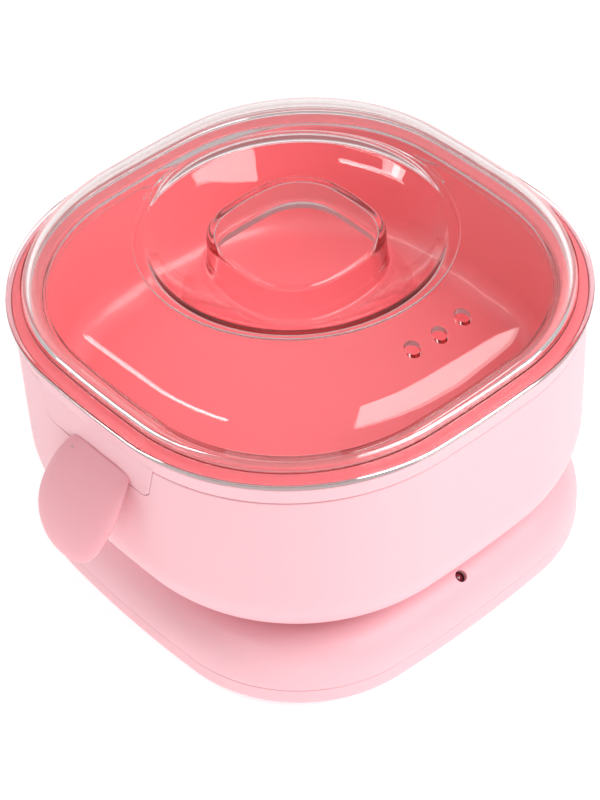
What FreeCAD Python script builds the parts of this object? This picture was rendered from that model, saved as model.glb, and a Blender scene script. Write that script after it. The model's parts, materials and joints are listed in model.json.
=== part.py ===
import FreeCAD, Part

import math
import os
import re

import Sketcher

# Wax warmer pot with a lift-out pot and a clear lid. Millimetres, +Z up, the origin on the floor under the
# middle of the base. -Y is the front, with the indicator, -X carries the handle, +Y the mains inlet.

DOC = FreeCAD.newDocument("WaxWarmerPot")
SHEET = DOC.addObject("Spreadsheet::Sheet", "Dims")

DIMENSIONS = [
    ("rim_half", 85.0, "half width of the rounded square at the lid flange"),
    ("rim_side", 466.0, "radius of its slightly bowed sides"),
    ("rim_corner", 67.7, "radius of its corners"),
    ("base_half", 79.0, "half width of the base at its foot"),
    ("base_side", 435.0, "radius of the base's sides"),
    ("base_corner", 49.7, "radius of the base's corners"),
    ("knob_half", 25.2, "half width of the knob's top"),
    ("knob_side", 74.7, "radius of the knob's sides"),
    ("knob_corner", 18.3, "radius of the knob's corners"),
    ("foot_gap", 1.5, "height of the base shell over the floor"),
    ("base_split", 8.9, "height of the seam between the base's two shells"),
    ("base_top", 23.0, "height of the base's top face"),
    ("base_round", 13.9, "radius of the base's shoulder"),
    ("base_toe", 2.5, "radius of the base's bottom edge"),
    ("shell_wall", 2.2, "wall of the plastic shells"),
    ("seam", 0.3, "gap at a visible seam"),
    ("bowl_bottom", 25.5, "height of the outer bowl's underside"),
    ("bowl_round", 24.0, "radius of the outer bowl's bottom edge"),
    ("bowl_inset", 1.8, "how far the outer bowl's top stands in from the lid flange"),
    ("bowl_ledge", 86.8, "height of the ledge that carries the heater well"),
    ("ring_seam", 92.0, "height of the seam between outer bowl and pot ring"),
    ("lid_seat", 98.6, "height of the ring's top, where the lid rests"),
    ("ring_flare", 0.4, "how far the ring's top edge stands in from the lid flange"),
    ("ring_lip", 3.2, "depth of the ring's lip inside the outer bowl"),
    ("lip_inset", 4.6, "how far the lip's outside stands in from the lid flange"),
    ("pot_flange_inset", 1.9, "how far the pot's flange stands in from the lid flange"),
    ("pot_inset", 9.2, "how far the pot's outer wall stands in from the lid flange"),
    ("pot_sheet", 1.6, "sheet of the pot"),
    ("pot_round", 9.0, "radius between the pot's wall and floor"),
    ("pot_sink", 0.3, "how far the pot's flange lies under the ring's top"),
    ("well_floor", 54.0, "height of the heated floor that the pot stands on"),
    ("well_gap", 0.6, "clearance between pot and heater well"),
    ("well_sheet", 1.2, "sheet of the heater well"),
    ("well_rim", 88.0, "height of the heater well's rim"),
    ("lid_flange", 2.4, "thickness of the lid's flange"),
    ("lid_wall", 2.2, "wall of the lid"),
    ("lid_top", 120.0, "height of the lid's top face"),
    ("lid_step", 5.0, "width of the lid's flange in front of its raised wall"),
    ("lid_rib_inset", 11.4, "how far the lid's locating rib stands in from the flange"),
    ("lid_rib", 1.4, "thickness of the locating rib"),
    ("lid_rib_deep", 2.4, "depth of the locating rib"),
    ("dish_radius", 46.4, "radius of the round dish at the lid's top face"),
    ("dish_ball", 66.0, "radius of the ball that shapes the dish"),
    ("dish_edge", 4.0, "radius of the dish's upper edge"),
    ("knob_draft", 0.8, "how much wider the knob is at its foot"),
    ("knob_round", 1.8, "radius of the knob's top edge"),
    ("dish_land", 3.8, "width of the flat land round the dish"),
    ("vent_radius", 2.5, "radius of a steam vent"),
    ("vent_circle", 62.8, "radius of the circle the vents lie on"),
    ("vent_step", 9.3, "angle between two vents"),
    ("tab_foot", 77.0, "height of the lower edge of the ring's handle tab"),
    ("tab_half", 22.5, "half width of the tab at its lower edge"),
    ("tab_spread", 4.5, "how much wider the tab is at the ring's seam"),
    ("tab_corner", 4.0, "radius of the tab's lower corners"),
    ("tab_gap", 0.4, "clearance round the tab"),
    ("grip_centre_x", 59.6, "distance of the handle's bend centre from the axis"),
    ("grip_centre_z", 48.5, "height of the handle's bend centre"),
    ("grip_radius", 42.4, "radius of the handle's outer face"),
    ("grip_thick", 4.2, "thickness of the handle's outer shell"),
    ("grip_back", 1.8, "thickness of the handle's back cover"),
    ("grip_half", 16.5, "half width of the handle"),
    ("grip_length", 26.0, "half length of the handle's oval outline"),
    ("grip_screw_y", 7.0, "distance of a handle screw from the middle"),
    ("grip_screw_z", 80.0, "height of the handle screws"),
    ("led_radius", 2.0, "radius of the indicator's hole"),
    ("led_angle", 57.8, "how far the indicator's axis leans up from level"),
    ("led_deep", 1.0, "how far the indicator lies under the surface"),
    ("neck_radius", 46.0, "radius of the neck between bowl and base"),
    ("neck_bore", 16.0, "radius of the wiring hole through the neck"),
    ("neck_circle", 38.0, "radius of the circle of the neck screws"),
    ("foot_radius", 6.0, "radius of a rubber foot"),
    ("foot_place", 50.0, "distance of a foot from each middle plane"),
    ("foot_high", 3.0, "height of a rubber foot"),
    ("screw_radius", 1.5, "shank radius of the case screws"),
    ("head_radius", 2.8, "head radius of the case screws"),
    ("head_high", 1.8, "head height of the case screws"),
    ("case_screw_x", 60.0, "distance of a base screw from the side plane"),
    ("case_screw_y", 30.0, "distance of a base screw from the front plane"),
    ("boss_radius", 4.2, "radius of the screw bosses"),
    ("boss_split", 8.0, "height where cover bosses meet base bosses"),
    ("plate_radius", 56.0, "radius of the heater plate"),
    ("plate_high", 5.0, "thickness of the heater plate"),
    ("coil_radius", 40.0, "radius of the tubular element's ring"),
    ("tube_radius", 3.0, "radius of the element's tube"),
    ("leg_angle", 14.0, "half the angle between the element's two ends"),
    ("stud_circle", 25.0, "radius of the circle of the heater plate's studs"),
    ("shield_level", 38.0, "height of the heat shield"),
    ("shield_radius", 60.0, "radius of the heat shield"),
    ("shield_sheet", 1.0, "sheet of the heat shield"),
    ("felt_high", 3.5, "thickness of the insulation felt"),
    ("shield_circle", 50.0, "radius of the circle of the shield's screws"),
    ("inlet_wide", 23.0, "width of the mains inlet's body"),
    ("inlet_high", 11.6, "height of the mains inlet's body"),
    ("inlet_deep", 18.0, "depth of the mains inlet's body"),
    ("inlet_face", 75.0, "distance of the inlet's face from the axis"),
    ("inlet_level", 12.0, "height of the inlet's middle"),
    ("socket_radius", 4.1, "end radius of the inlet's socket"),
    ("pin_pitch", 8.6, "distance between the inlet's pins"),
    ("pin_radius", 1.2, "radius of an inlet pin"),
    ("socket_deep", 12.0, "depth of the inlet's socket"),
    ("board_long", 56.0, "width of the control board"),
    ("board_wide", 34.0, "depth of the control board"),
    ("board_thick", 1.6, "thickness of the control board"),
    ("board_level", 9.0, "height of the control board's underside"),
    ("board_y", -34.0, "place of the control board's middle along Y"),
    ("post_radius", 2.6, "radius of a board post"),
    ("wire_radius", 0.9, "radius of an insulated wire"),
]
ALIASES = {name for name, value, note in DIMENSIONS}

UP = FreeCAD.Rotation()
QUARTERS = (0, 90, 180, 270)
SIGNS = ((1, 1), (-1, 1), (-1, -1), (1, -1))
DOME_STEPS = 6


def fill_sheet():
    """One row for each driving dimension: its note, its value and its alias."""
    for row, (name, value, note) in enumerate(DIMENSIONS, 1):
        SHEET.set(f"A{row}", note)
        SHEET.set(f"B{row}", str(value))
        SHEET.setAlias(f"B{row}", name)
    DOC.recompute()


def fx(text):
    """Turn bare dimension names into references to the sheet."""
    return re.sub(r"[a-z_]+", lambda m: "Dims." + m.group() if m.group() in ALIASES else m.group(), str(text))


def number(text):
    """Value of an expression of sheet dimensions."""
    return float(SHEET.evalExpression(fx(text)))


def bind(item, **sizes):
    """Tie an object's properties to the sheet."""
    for name, text in sizes.items():
        item.setExpression(name, fx(text))
    return item


def place(item, x, y, z, rotation=UP):
    """Turn an object and tie its position to the sheet."""
    item.Placement = FreeCAD.Placement(FreeCAD.Vector(), rotation)
    for axis, text in (("x", x), ("y", y), ("z", z)):
        item.setExpression(f"Placement.Base.{axis}", fx(text))
    return item


def turn(axis, angle):
    return FreeCAD.Rotation(FreeCAD.Vector(*axis), angle)


def polar(radius, angle):
    """X and Y expressions of a point on a circle."""
    return f"({radius}) * cos(({angle}) * 1deg)", f"({radius}) * sin(({angle}) * 1deg)"


# ---------------------------------------------------------------- bodies, sketches and features


def new_body(name):
    body = DOC.addObject("PartDesign::Body", name)
    body.Label = name
    return body


def attach(body, item, role, offset):
    """Lay an item on one of its body's own planes, lifted by an offset tied to the sheet."""
    plane = next(plane for plane in body.Origin.OriginFeatures if plane.Role == role)
    item.AttachmentSupport = [(plane, "")]
    item.MapMode = "FlatFace"
    item.setExpression("AttachmentOffset.Base.z", fx(offset))


def new_sketch(body, name, role, offset="0"):
    sketch = body.newObject("Sketcher::SketchObject", name)
    attach(body, sketch, role, offset)
    return sketch


def datum(sketch, kind, name, text, *items):
    """Add a dimension to a sketch and tie it to the sheet."""
    index = sketch.addConstraint(Sketcher.Constraint(kind, *items, number(text)))
    sketch.renameConstraint(index, name)
    sketch.setExpression(f"Constraints.{name}", fx(text))


def add_arc(sketch, x, y, radius, start, end):
    circle = Part.Circle(FreeCAD.Vector(x, y, 0), FreeCAD.Vector(0, 0, 1), radius)
    sketch.addGeometry(Part.ArcOfCircle(circle, start, end), False)


def inset(family, text):
    """Half width, side radius and corner radius of a family's outline, moved inwards."""
    return tuple(f"{family}_{size} - ({text})" for size in ("half", "side", "corner"))


def rounded_square(body, name, outline, level):
    """Eight tangent arcs: four bowed sides and four corners."""
    sketch = new_sketch(body, name, "XY_Plane", level)
    half, side, corner = (number(text) for text in outline)
    lean = math.acos((side - half) / (side - corner) / math.sqrt(2)) - math.pi / 4
    reach = side - half
    middle = math.sqrt(2) * (side - corner) * math.sin(lean)
    for quarter in range(4):
        along = quarter * math.pi / 2
        across = along + math.pi / 4
        add_arc(sketch, -reach * math.cos(along), -reach * math.sin(along), side, along - lean, along + lean)
        add_arc(sketch, middle * math.cos(across), middle * math.sin(across), corner,
                along + lean, along + math.pi / 2 - lean)
    rules = [Sketcher.Constraint("Tangent", arc, 2, (arc + 1) % 8, 1) for arc in range(8)]
    rules += [Sketcher.Constraint("Equal", arc % 2, arc) for arc in range(2, 8)]
    rules.append(Sketcher.Constraint("PointOnObject", 0, 3, -1))
    rules.append(Sketcher.Constraint("PointOnObject", 2, 3, -2))
    rules.append(Sketcher.Constraint("Symmetric", 0, 3, 4, 3, -1, 1))
    rules.append(Sketcher.Constraint("Symmetric", 2, 3, 6, 3, -1, 1))
    sketch.addConstraint(rules)
    datum(sketch, "Radius", "side", outline[1], 0)
    datum(sketch, "Radius", "corner", outline[2], 1)
    datum(sketch, "DistanceX", "reach_x", f"({outline[1]}) - ({outline[0]})", 0, 3, -1, 1)
    datum(sketch, "DistanceY", "reach_y", f"({outline[1]}) - ({outline[0]})", 2, 3, -1, 1)
    return sketch


def extrude(body, kind, name, sketch, length, down=False):
    feature = body.newObject(f"PartDesign::{kind}", name)
    feature.Profile = sketch
    feature.Reversed = down
    bind(feature, Length=length)
    return feature


def loft(body, kind, name, sections):
    feature = body.newObject(f"PartDesign::{kind}Loft", name)
    feature.Profile = sections[0]
    feature.Sections = sections[1:]
    feature.Ruled = True
    return feature


def level_edges(feature, level, low=0.0, high=1e6):
    """Names of the edges at one height whose middle is between two distances from the axis."""
    height = number(level)
    found = []
    for index, edge in enumerate(feature.Shape.Edges, 1):
        box = edge.BoundBox
        middle = edge.valueAt((edge.FirstParameter + edge.LastParameter) / 2)
        flat = abs(box.ZMin - height) < 0.01 and abs(box.ZMax - height) < 0.01
        if flat and low < math.hypot(middle.x, middle.y) < high:
            found.append(f"Edge{index}")
    return found


def fillet(body, name, radius, level, low=0.0, high=1e6):
    DOC.recompute()
    base = body.Tip
    feature = body.newObject("PartDesign::Fillet", name)
    feature.Base = (base, level_edges(base, level, low, high))
    bind(feature, Radius=radius)
    DOC.recompute()
    return feature


def rounded_block(name, family, levels, insets, edges=()):
    """Solid between two levels: straight walls where both insets are the same, ruled walls elsewhere."""
    body = new_body(name)
    foot = rounded_square(body, f"{name}_foot", inset(family, insets[0]), levels[0])
    if insets[0] == insets[1]:
        extrude(body, "Pad", f"{name}_form", foot, f"({levels[1]}) - ({levels[0]})")
    else:
        top = rounded_square(body, f"{name}_top", inset(family, insets[1]), levels[1])
        loft(body, "Additive", f"{name}_form", [foot, top])
    for index, (radius, level) in enumerate(edges):
        fillet(body, f"{name}_round{index}", radius, level)
    return body


# ---------------------------------------------------------------- primitives and booleans


def cylinder(name, radius, height, x, y, z, rotation=UP):
    item = DOC.addObject("Part::Cylinder", name)
    bind(item, Radius=radius, Height=height)
    return place(item, x, y, z, rotation)


def box(name, length, width, height, x, y, z):
    """Box given by its middle in X and Y and its lowest Z."""
    item = DOC.addObject("Part::Box", name)
    bind(item, Length=length, Width=width, Height=height)
    return place(item, f"({x}) - ({length}) / 2", f"({y}) - ({width}) / 2", z)


def fuse(name, parts):
    item = DOC.addObject("Part::MultiFuse", name)
    item.Shapes = parts
    return item


def cut(name, base, tools):
    """Base less all its tools."""
    item = DOC.addObject("Part::Cut", name)
    item.Base = base
    item.Tool = tools[0] if len(tools) == 1 else fuse(f"{name}_tools", tools)
    return item


def common(name, first, second):
    item = DOC.addObject("Part::MultiCommon", name)
    item.Shapes = [first, second]
    return item


def group(name, parts):
    """Separate solids that share one node."""
    item = DOC.addObject("Part::Compound", name)
    item.Links = parts
    return item


def node(item, label):
    item.Label = label
    NODES.append(item)
    return item


def screw(name, x, y, head_level, length, up=True, head=("head_radius", "head_high"), shank="screw_radius"):
    """Round-head screw: the head's seat at head_level, the shank above it when up, else below it."""
    tip = head_level if up else f"({head_level}) - ({length})"
    crown = f"({head_level}) - {head[1]}" if up else head_level
    return fuse(name, [
        cylinder(f"{name}_shank", shank, length, x, y, tip),
        cylinder(f"{name}_head", head[0], head[1], x, y, crown),
    ])


# ---------------------------------------------------------------- base


def case_places():
    return [(f"{sx} * case_screw_x", f"{sy} * case_screw_y") for sx, sy in SIGNS]


def inlet_window(name):
    return box(name, "inlet_wide + 0.4", "shell_wall * 8", "inlet_high + 0.4", "0", "base_half",
               "inlet_level - inlet_high / 2 - 0.2")


def base_bottom():
    """Tray with rounded toe, screw bosses, board posts, foot recesses and half the inlet's window."""
    outer = rounded_block("bottom_outer", "base", ("foot_gap", "base_split - seam"), ("0", "0"),
                          [("base_toe", "foot_gap")])
    inner = rounded_block("bottom_inner", "base", ("foot_gap + shell_wall", "base_split + 1"),
                          ("shell_wall", "shell_wall"), [("1.2", "foot_gap + shell_wall")])
    tray = cut("bottom_tray", outer, [inner])
    floor = "foot_gap + shell_wall"
    solid = [tray]
    holes = [inlet_window("bottom_window")]
    for index, (x, y) in enumerate(case_places()):
        solid.append(cylinder(f"bottom_boss{index}", "boss_radius + 0.8", f"boss_split - ({floor}) + 0.5", x, y,
                              f"{floor} - 0.5"))
        holes.append(cylinder(f"bottom_sink{index}", "head_radius + 0.3", "3.5", x, y, "foot_gap"))
        holes.append(cylinder(f"bottom_hole{index}", "screw_radius + 0.2", "boss_split + 1", x, y, "0"))
    for index, (sx, sy) in enumerate(SIGNS):
        holes.append(cylinder(f"bottom_recess{index}", "foot_radius", "foot_high - foot_gap",
                              f"{sx} * foot_place", f"{sy} * foot_place", "foot_gap"))
    for index, (x, y) in enumerate(board_places()):
        solid.append(cylinder(f"bottom_post{index}", "post_radius", f"board_level - ({floor}) + 0.5", x, y,
                              f"{floor} - 0.5"))
        holes.append(cylinder(f"bottom_pilot{index}", "0.85", "4", x, y, "board_level - 3.9"))
    return node(cut("base_bottom_cut", fuse("bottom_solid", solid), holes), "base_bottom")


def base_top():
    """Rounded cover with its shoulder, the indicator's slanted hole, bosses and the wiring hole."""
    outer = rounded_block("cover_outer", "base", ("base_split", "base_top"), ("0", "0"),
                          [("base_round", "base_top")])
    inner = rounded_block("cover_inner", "base", ("base_split - 1", "base_top - shell_wall"),
                          ("shell_wall", "shell_wall"),
                          [("base_round - shell_wall", "base_top - shell_wall")])
    shell = cut("cover_shell", outer, [inner])
    under = "base_top - shell_wall"
    solid = [shell]
    holes = [
        cylinder("cover_bore", "neck_bore", "10", "0", "0", "base_top - 6"),
        cylinder("cover_led", "led_radius", "9", "0", *led_point("5"), led_tilt(True)),
        inlet_window("cover_window"),
    ]
    for index, (x, y) in enumerate(case_places()):
        solid.append(cylinder(f"cover_boss{index}", "boss_radius", f"{under} - boss_split + 0.5", x, y,
                              "boss_split"))
        holes.append(cylinder(f"cover_pilot{index}", "screw_radius + 0.05", "10.2", x, y, "boss_split - 0.1"))
    for index, (x, y) in enumerate(neck_places()):
        solid.append(cylinder(f"cover_neck{index}", "boss_radius", "8.5", x, y, f"{under} - 8"))
        holes.append(cylinder(f"cover_thread{index}", "screw_radius + 0.05", "9.2", x, y, "base_top - 9"))
    return node(cut("base_top_cut", fuse("cover_solid", solid), holes), "base_top")


def led_point(out):
    """Y and Z of a point a distance out from the shoulder's surface, on the indicator's axis."""
    reach = f"(base_round + ({out}))"
    return (f"-(base_half - base_round + {reach} * cos(led_angle * 1deg))",
            f"base_top - base_round + {reach} * sin(led_angle * 1deg)")


def led_tilt(inwards):
    """Rotation that lays +Z along the indicator's axis."""
    lean = 90 - number("led_angle")
    return turn((1, 0, 0), lean + 180 if inwards else lean)


def rubber_feet():
    feet = [
        cylinder(f"foot{index}", "foot_radius - 0.05", "foot_high", f"{sx} * foot_place", f"{sy} * foot_place", "0")
        for index, (sx, sy) in enumerate(SIGNS)
    ]
    return node(group("feet_group", feet), "rubber_feet")


def base_screws():
    screws = [screw(f"case_screw{index}", x, y, "foot_gap + 3.5", "12") for index, (x, y) in enumerate(case_places())]
    return node(group("case_screws", screws), "base_screws")


def neck_places():
    return [polar("neck_circle", 45 + angle) for angle in QUARTERS]


def neck_collar():
    """Round spacer between base and outer bowl, with a spigot into each wiring hole."""
    ring = cylinder("collar_ring", "neck_radius", "bowl_bottom - base_top", "0", "0", "base_top")
    spigot = cylinder("collar_spigot", "neck_bore - 0.2", "bowl_bottom - base_top + 4", "0", "0", "base_top - 2")
    holes = [cylinder("collar_bore", "neck_bore - 2", "12", "0", "0", "base_top - 4")]
    for index, (x, y) in enumerate(neck_places()):
        holes.append(cylinder(f"collar_hole{index}", "screw_radius + 0.2", "6", x, y, "base_top - 1"))
    return node(cut("collar_cut", fuse("collar_solid", [ring, spigot]), holes), "neck_collar")


# ---------------------------------------------------------------- outer bowl


def tab_outline(body, name, grow):
    """Handle tab seen from the side: slanted edges and rounded lower corners, as a YZ sketch."""
    sketch = new_sketch(body, name, "YZ_Plane", "0")
    foot = number(f"tab_half + ({grow})")
    top = number(f"tab_half + tab_spread + ({grow})")
    low = number(f"tab_foot - ({grow})")
    high = number("lid_seat")
    corners = [(-foot, low), (foot, low), (top, high), (-top, high)]
    for start, end in zip(corners, corners[1:] + corners[:1]):
        line = Part.LineSegment(FreeCAD.Vector(*start, 0), FreeCAD.Vector(*end, 0))
        sketch.addGeometry(line, False)
    rules = [Sketcher.Constraint("Coincident", side, 2, (side + 1) % 4, 1) for side in range(4)]
    rules.append(Sketcher.Constraint("Symmetric", 0, 1, 0, 2, -2))
    rules.append(Sketcher.Constraint("Symmetric", 2, 1, 2, 2, -2))
    sketch.addConstraint(rules)
    datum(sketch, "DistanceX", "foot", f"2 * (tab_half + ({grow}))", 0, 1, 0, 2)
    datum(sketch, "DistanceX", "top", f"2 * (tab_half + tab_spread + ({grow}))", 2, 2, 2, 1)
    datum(sketch, "DistanceY", "low", f"tab_foot - ({grow})", -1, 1, 0, 1)
    datum(sketch, "DistanceY", "high", "lid_seat", -1, 1, 2, 1)
    return sketch


def tab_prism(name, grow):
    """The tab's outline carried along X through the wall on the handle's side."""
    body = new_body(name)
    sketch = tab_outline(body, f"{name}_outline", grow)
    extrude(body, "Pad", f"{name}_pad", sketch, "rim_half + 5", down=True)
    DOC.recompute()
    low = number(f"tab_foot - ({grow})")
    base = body.Tip
    feature = body.newObject("PartDesign::Fillet", f"{name}_round")
    names = []
    for index, edge in enumerate(base.Shape.Edges, 1):
        bounds = edge.BoundBox
        if bounds.XLength > 1 and abs(bounds.ZMax - low) < 0.01:
            names.append(f"Edge{index}")
    feature.Base = (base, names)
    bind(feature, Radius=f"tab_corner + ({grow})")
    return body


def housing_bowl():
    """Outer bowl: a deep rounded square with a large bottom radius, a ledge inside and the tab's notch."""
    outer = rounded_block("bowl_outer", "rim", ("bowl_bottom", "ring_seam - seam"),
                          ("bowl_inset", "bowl_inset"), [("bowl_round", "bowl_bottom")])
    thick = "shell_wall + 1.6"
    inner = rounded_block("bowl_inner", "rim", ("bowl_bottom + shell_wall", "ring_seam + 1"),
                          (f"bowl_inset + {thick}", f"bowl_inset + {thick}"),
                          [(f"bowl_round - ({thick})", "bowl_bottom + shell_wall")])
    mouth = rounded_block("bowl_mouth", "rim", ("bowl_ledge", "ring_seam + 1"),
                          ("bowl_inset + shell_wall", "bowl_inset + shell_wall"))
    shell = cut("bowl_shell", outer, [inner, mouth])
    floor = "bowl_bottom + shell_wall"
    solid = [shell]
    holes = [
        cylinder("bowl_bore", "neck_bore", "10", "0", "0", "bowl_bottom - 3"),
        tab_prism("bowl_notch", "tab_gap"),
    ]
    for index, (x, y) in enumerate(neck_places()):
        holes.append(cylinder(f"bowl_hole{index}", "screw_radius + 0.2", "6", x, y, "bowl_bottom - 2"))
    for index, (x, y) in enumerate(shield_places()):
        solid.append(cylinder(f"bowl_boss{index}", "boss_radius", f"shield_level - ({floor}) + 0.5", x, y,
                              f"{floor} - 0.5"))
        holes.append(cylinder(f"bowl_pilot{index}", "screw_radius + 0.05", "8", x, y, "shield_level - 7.9"))
    return node(cut("housing_cut", fuse("bowl_solid", solid), holes), "housing_bowl")


def neck_screws():
    floor = "bowl_bottom + shell_wall"
    screws = [screw(f"neck_screw{index}", x, y, floor, "11", up=False) for index, (x, y) in enumerate(neck_places())]
    return node(group("neck_screw_group", screws), "neck_screws")


# ---------------------------------------------------------------- heater


def stud_places():
    return [polar("stud_circle", 45 + angle) for angle in QUARTERS]


def shield_places():
    return [polar("shield_circle", angle) for angle in QUARTERS]


def leg_places():
    return [polar("coil_radius", f"90 + {sign} * leg_angle") for sign in (1, -1)]


def heater_well():
    """Sheet well that the pot stands in: rim flange on the bowl's ledge, straight wall, flat floor, four studs."""
    under = "well_floor - well_sheet"
    inset = "pot_inset - well_gap"
    rim = rounded_block("well_rim_plate", "rim", ("well_rim - well_sheet", "well_rim"),
                        ("bowl_inset + shell_wall + 0.3", "bowl_inset + shell_wall + 0.3"))
    outer = rounded_block("well_outer", "rim", (under, "well_rim"),
                          (f"{inset} - well_sheet", f"{inset} - well_sheet"),
                          [("pot_round + 1", under)])
    inner = rounded_block("well_inner", "rim", ("well_floor", "well_rim + 1"), (inset, inset),
                          [("pot_round - 0.2", "well_floor")])
    studs = [
        cylinder(f"well_stud{index}", "2", "plate_high + 5", x, y, f"{under} - plate_high - 4.5")
        for index, (x, y) in enumerate(stud_places())
    ]
    return node(cut("well_cut", fuse("well_solid", [rim, outer, *studs]), [inner]), "heater_well")


def heater_plate():
    """Cast plate pressed against the well's floor, with a groove for the tubular element."""
    level = "well_floor - well_sheet - plate_high"
    disc = cylinder("plate_disc", "plate_radius", "plate_high", "0", "0", level)
    groove = DOC.addObject("Part::Torus", "plate_groove")
    bind(groove, Radius1="coil_radius", Radius2="tube_radius + 0.05")
    place(groove, "0", "0", level)
    holes = [groove]
    for index, (x, y) in enumerate(stud_places()):
        holes.append(cylinder(f"plate_hole{index}", "2.2", "plate_high + 2", x, y, f"{level} - 1"))
    holes.append(cylinder("plate_probe", "4.3", "plate_high + 2", "0", "0", f"{level} - 1"))
    return node(cut("plate_cut", disc, holes), "heater_plate")


def heating_element():
    """Tubular element: most of a ring in the plate's groove and two straight ends that point down."""
    level = "well_floor - well_sheet - plate_high"
    ring = DOC.addObject("Part::Torus", "element_ring")
    bind(ring, Radius1="coil_radius", Radius2="tube_radius", Angle3="360 - 2 * leg_angle")
    place(ring, "0", "0", level)
    ring.setExpression("Placement.Rotation.Angle", fx("90 + leg_angle"))
    legs = [
        cylinder(f"element_leg{index}", "tube_radius", "8", x, y, f"{level} - 8")
        for index, (x, y) in enumerate(leg_places())
    ]
    ends = [DOC.addObject("Part::Sphere", f"element_end{index}") for index in range(2)]
    for end, (x, y) in zip(ends, leg_places()):
        bind(end, Radius="tube_radius")
        place(end, x, y, level)
    pins = [
        cylinder(f"element_pin{index}", "1.2", "16", x, y, f"{level} - 15")
        for index, (x, y) in enumerate(leg_places())
    ]
    return node(fuse("element_fuse", [ring, *legs, *ends, *pins]), "heating_element")


def hexagon_nut(name, bore, across, high, x, y, z):
    prism = DOC.addObject("Part::Prism", f"{name}_prism")
    prism.Polygon = 6
    bind(prism, Circumradius=across, Height=high)
    place(prism, x, y, z)
    return cut(name, prism, [cylinder(f"{name}_bore", bore, f"({high}) + 2", x, y, f"({z}) - 1")])


def stud_nuts():
    level = "well_floor - well_sheet - plate_high - 2.8"
    nuts = [hexagon_nut(f"stud_nut{index}", "2.05", "3.9", "2.8", x, y, level)
            for index, (x, y) in enumerate(stud_places())]
    return node(group("stud_nut_group", nuts), "stud_nuts")


def heat_shield():
    """Steel disc on the bowl's bosses, with holes for its screws and the element's ends."""
    disc = cylinder("shield_disc", "shield_radius", "shield_sheet", "0", "0", "shield_level")
    holes = [cylinder("shield_bore", "12", "4", "0", "0", "shield_level - 1")]
    for index, (x, y) in enumerate(shield_places()):
        holes.append(cylinder(f"shield_hole{index}", "screw_radius + 0.2", "4", x, y, "shield_level - 1"))
    for index, (x, y) in enumerate(leg_places()):
        holes.append(cylinder(f"shield_slot{index}", "4.5", "4", x, y, "shield_level - 1"))
    return node(cut("shield_cut", disc, holes), "heat_shield")


def insulation_felt():
    """Felt disc that lies on the heat shield, punched for the screw heads and the element's ends."""
    level = "shield_level + shield_sheet"
    disc = cylinder("felt_disc", "shield_radius - 1", "felt_high", "0", "0", level)
    holes = [cylinder("felt_bore", "14", "felt_high + 2", "0", "0", f"{level} - 1")]
    for index, (x, y) in enumerate(shield_places()):
        holes.append(cylinder(f"felt_hole{index}", "head_radius + 0.6", "felt_high + 2", x, y, f"{level} - 1"))
    for index, (x, y) in enumerate(leg_places()):
        holes.append(cylinder(f"felt_slot{index}", "4.5", "felt_high + 2", x, y, f"{level} - 1"))
    return node(cut("felt_cut", disc, holes), "insulation_felt")


def shield_screws():
    seat = "shield_level + shield_sheet"
    screws = [screw(f"shield_screw{index}", x, y, seat, "7", up=False)
              for index, (x, y) in enumerate(shield_places())]
    return node(group("shield_screw_group", screws), "shield_screws")


def thermostat():
    """Snap-action thermostat in the plate's middle: sensing cap against the well, body and two tabs."""
    cap = cylinder("thermostat_cap", "4", "plate_high + 1", "0", "0", "well_floor - well_sheet - plate_high - 1")
    body = cylinder("thermostat_body", "8.5", "4.5", "0", "0", "well_floor - well_sheet - plate_high - 5.5")
    tabs = [box(f"thermostat_tab{index}", "0.8", "6", "7", f"{sign} * 5.5", "0",
                "well_floor - well_sheet - plate_high - 12")
            for index, sign in enumerate((1, -1))]
    return node(fuse("thermostat_fuse", [cap, body, *tabs]), "thermostat")


def thermal_fuse():
    """Axial cut-out fuse under the plate: barrel and two leads, along X."""
    level = "well_floor - well_sheet - plate_high - 2.2"
    along = turn((0, 1, 0), 90)
    barrel = cylinder("fuse_barrel", "2", "11", "-5.5", "-16", level, along)
    leads = cylinder("fuse_leads", "0.5", "27", "-13.5", "-16", level, along)
    return node(fuse("fuse_fuse", [barrel, leads]), "thermal_fuse")


# ---------------------------------------------------------------- electrics in the base


def board_places():
    return [(f"{sx} * (board_long / 2 - 4)", f"board_y + {sy} * (board_wide / 2 - 4)") for sx, sy in SIGNS]


def control_board():
    sheet = box("board_sheet", "board_long", "board_wide", "board_thick", "0", "board_y", "board_level")
    holes = [cylinder(f"board_hole{index}", "1.2", "4", x, y, "board_level - 1")
             for index, (x, y) in enumerate(board_places())]
    return node(cut("board_cut", sheet, holes), "control_board")


def board_screws():
    seat = "board_level + board_thick"
    screws = [
        fuse(f"board_screw{index}", [
            cylinder(f"board_screw{index}_shank", "0.8", "5", x, y, f"{seat} - 5"),
            cylinder(f"board_screw{index}_head", "1.9", "1.2", x, y, seat),
        ])
        for index, (x, y) in enumerate(board_places())
    ]
    return node(group("board_screw_group", screws), "board_screws")


def power_module():
    """Relay, capacitor and driver chip that stand on the board."""
    top = "board_level + board_thick"
    relay = box("relay_case", "13", "10", "8.5", "-12", "board_y + 2", top)
    store = cylinder("capacitor_can", "4", "8", "3", "board_y + 3", top)
    chip = box("driver_chip", "7", "5", "1.6", "14", "board_y - 3", top)
    return node(group("module_group", [relay, store, chip]), "board_components")


def terminal_block():
    """Two-way screw terminal on the board's rear edge."""
    top = "board_level + board_thick"
    block = box("terminal_case", "12", "7", "8", "14", "board_y + 9", top)
    wells = [cylinder(f"terminal_well{index}", "1.6", "6", f"14 + {sign} * 3", "board_y + 9", f"{top} + 4")
             for index, sign in enumerate((1, -1))]
    return node(cut("terminal_cut", block, wells), "terminal_block")


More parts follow.
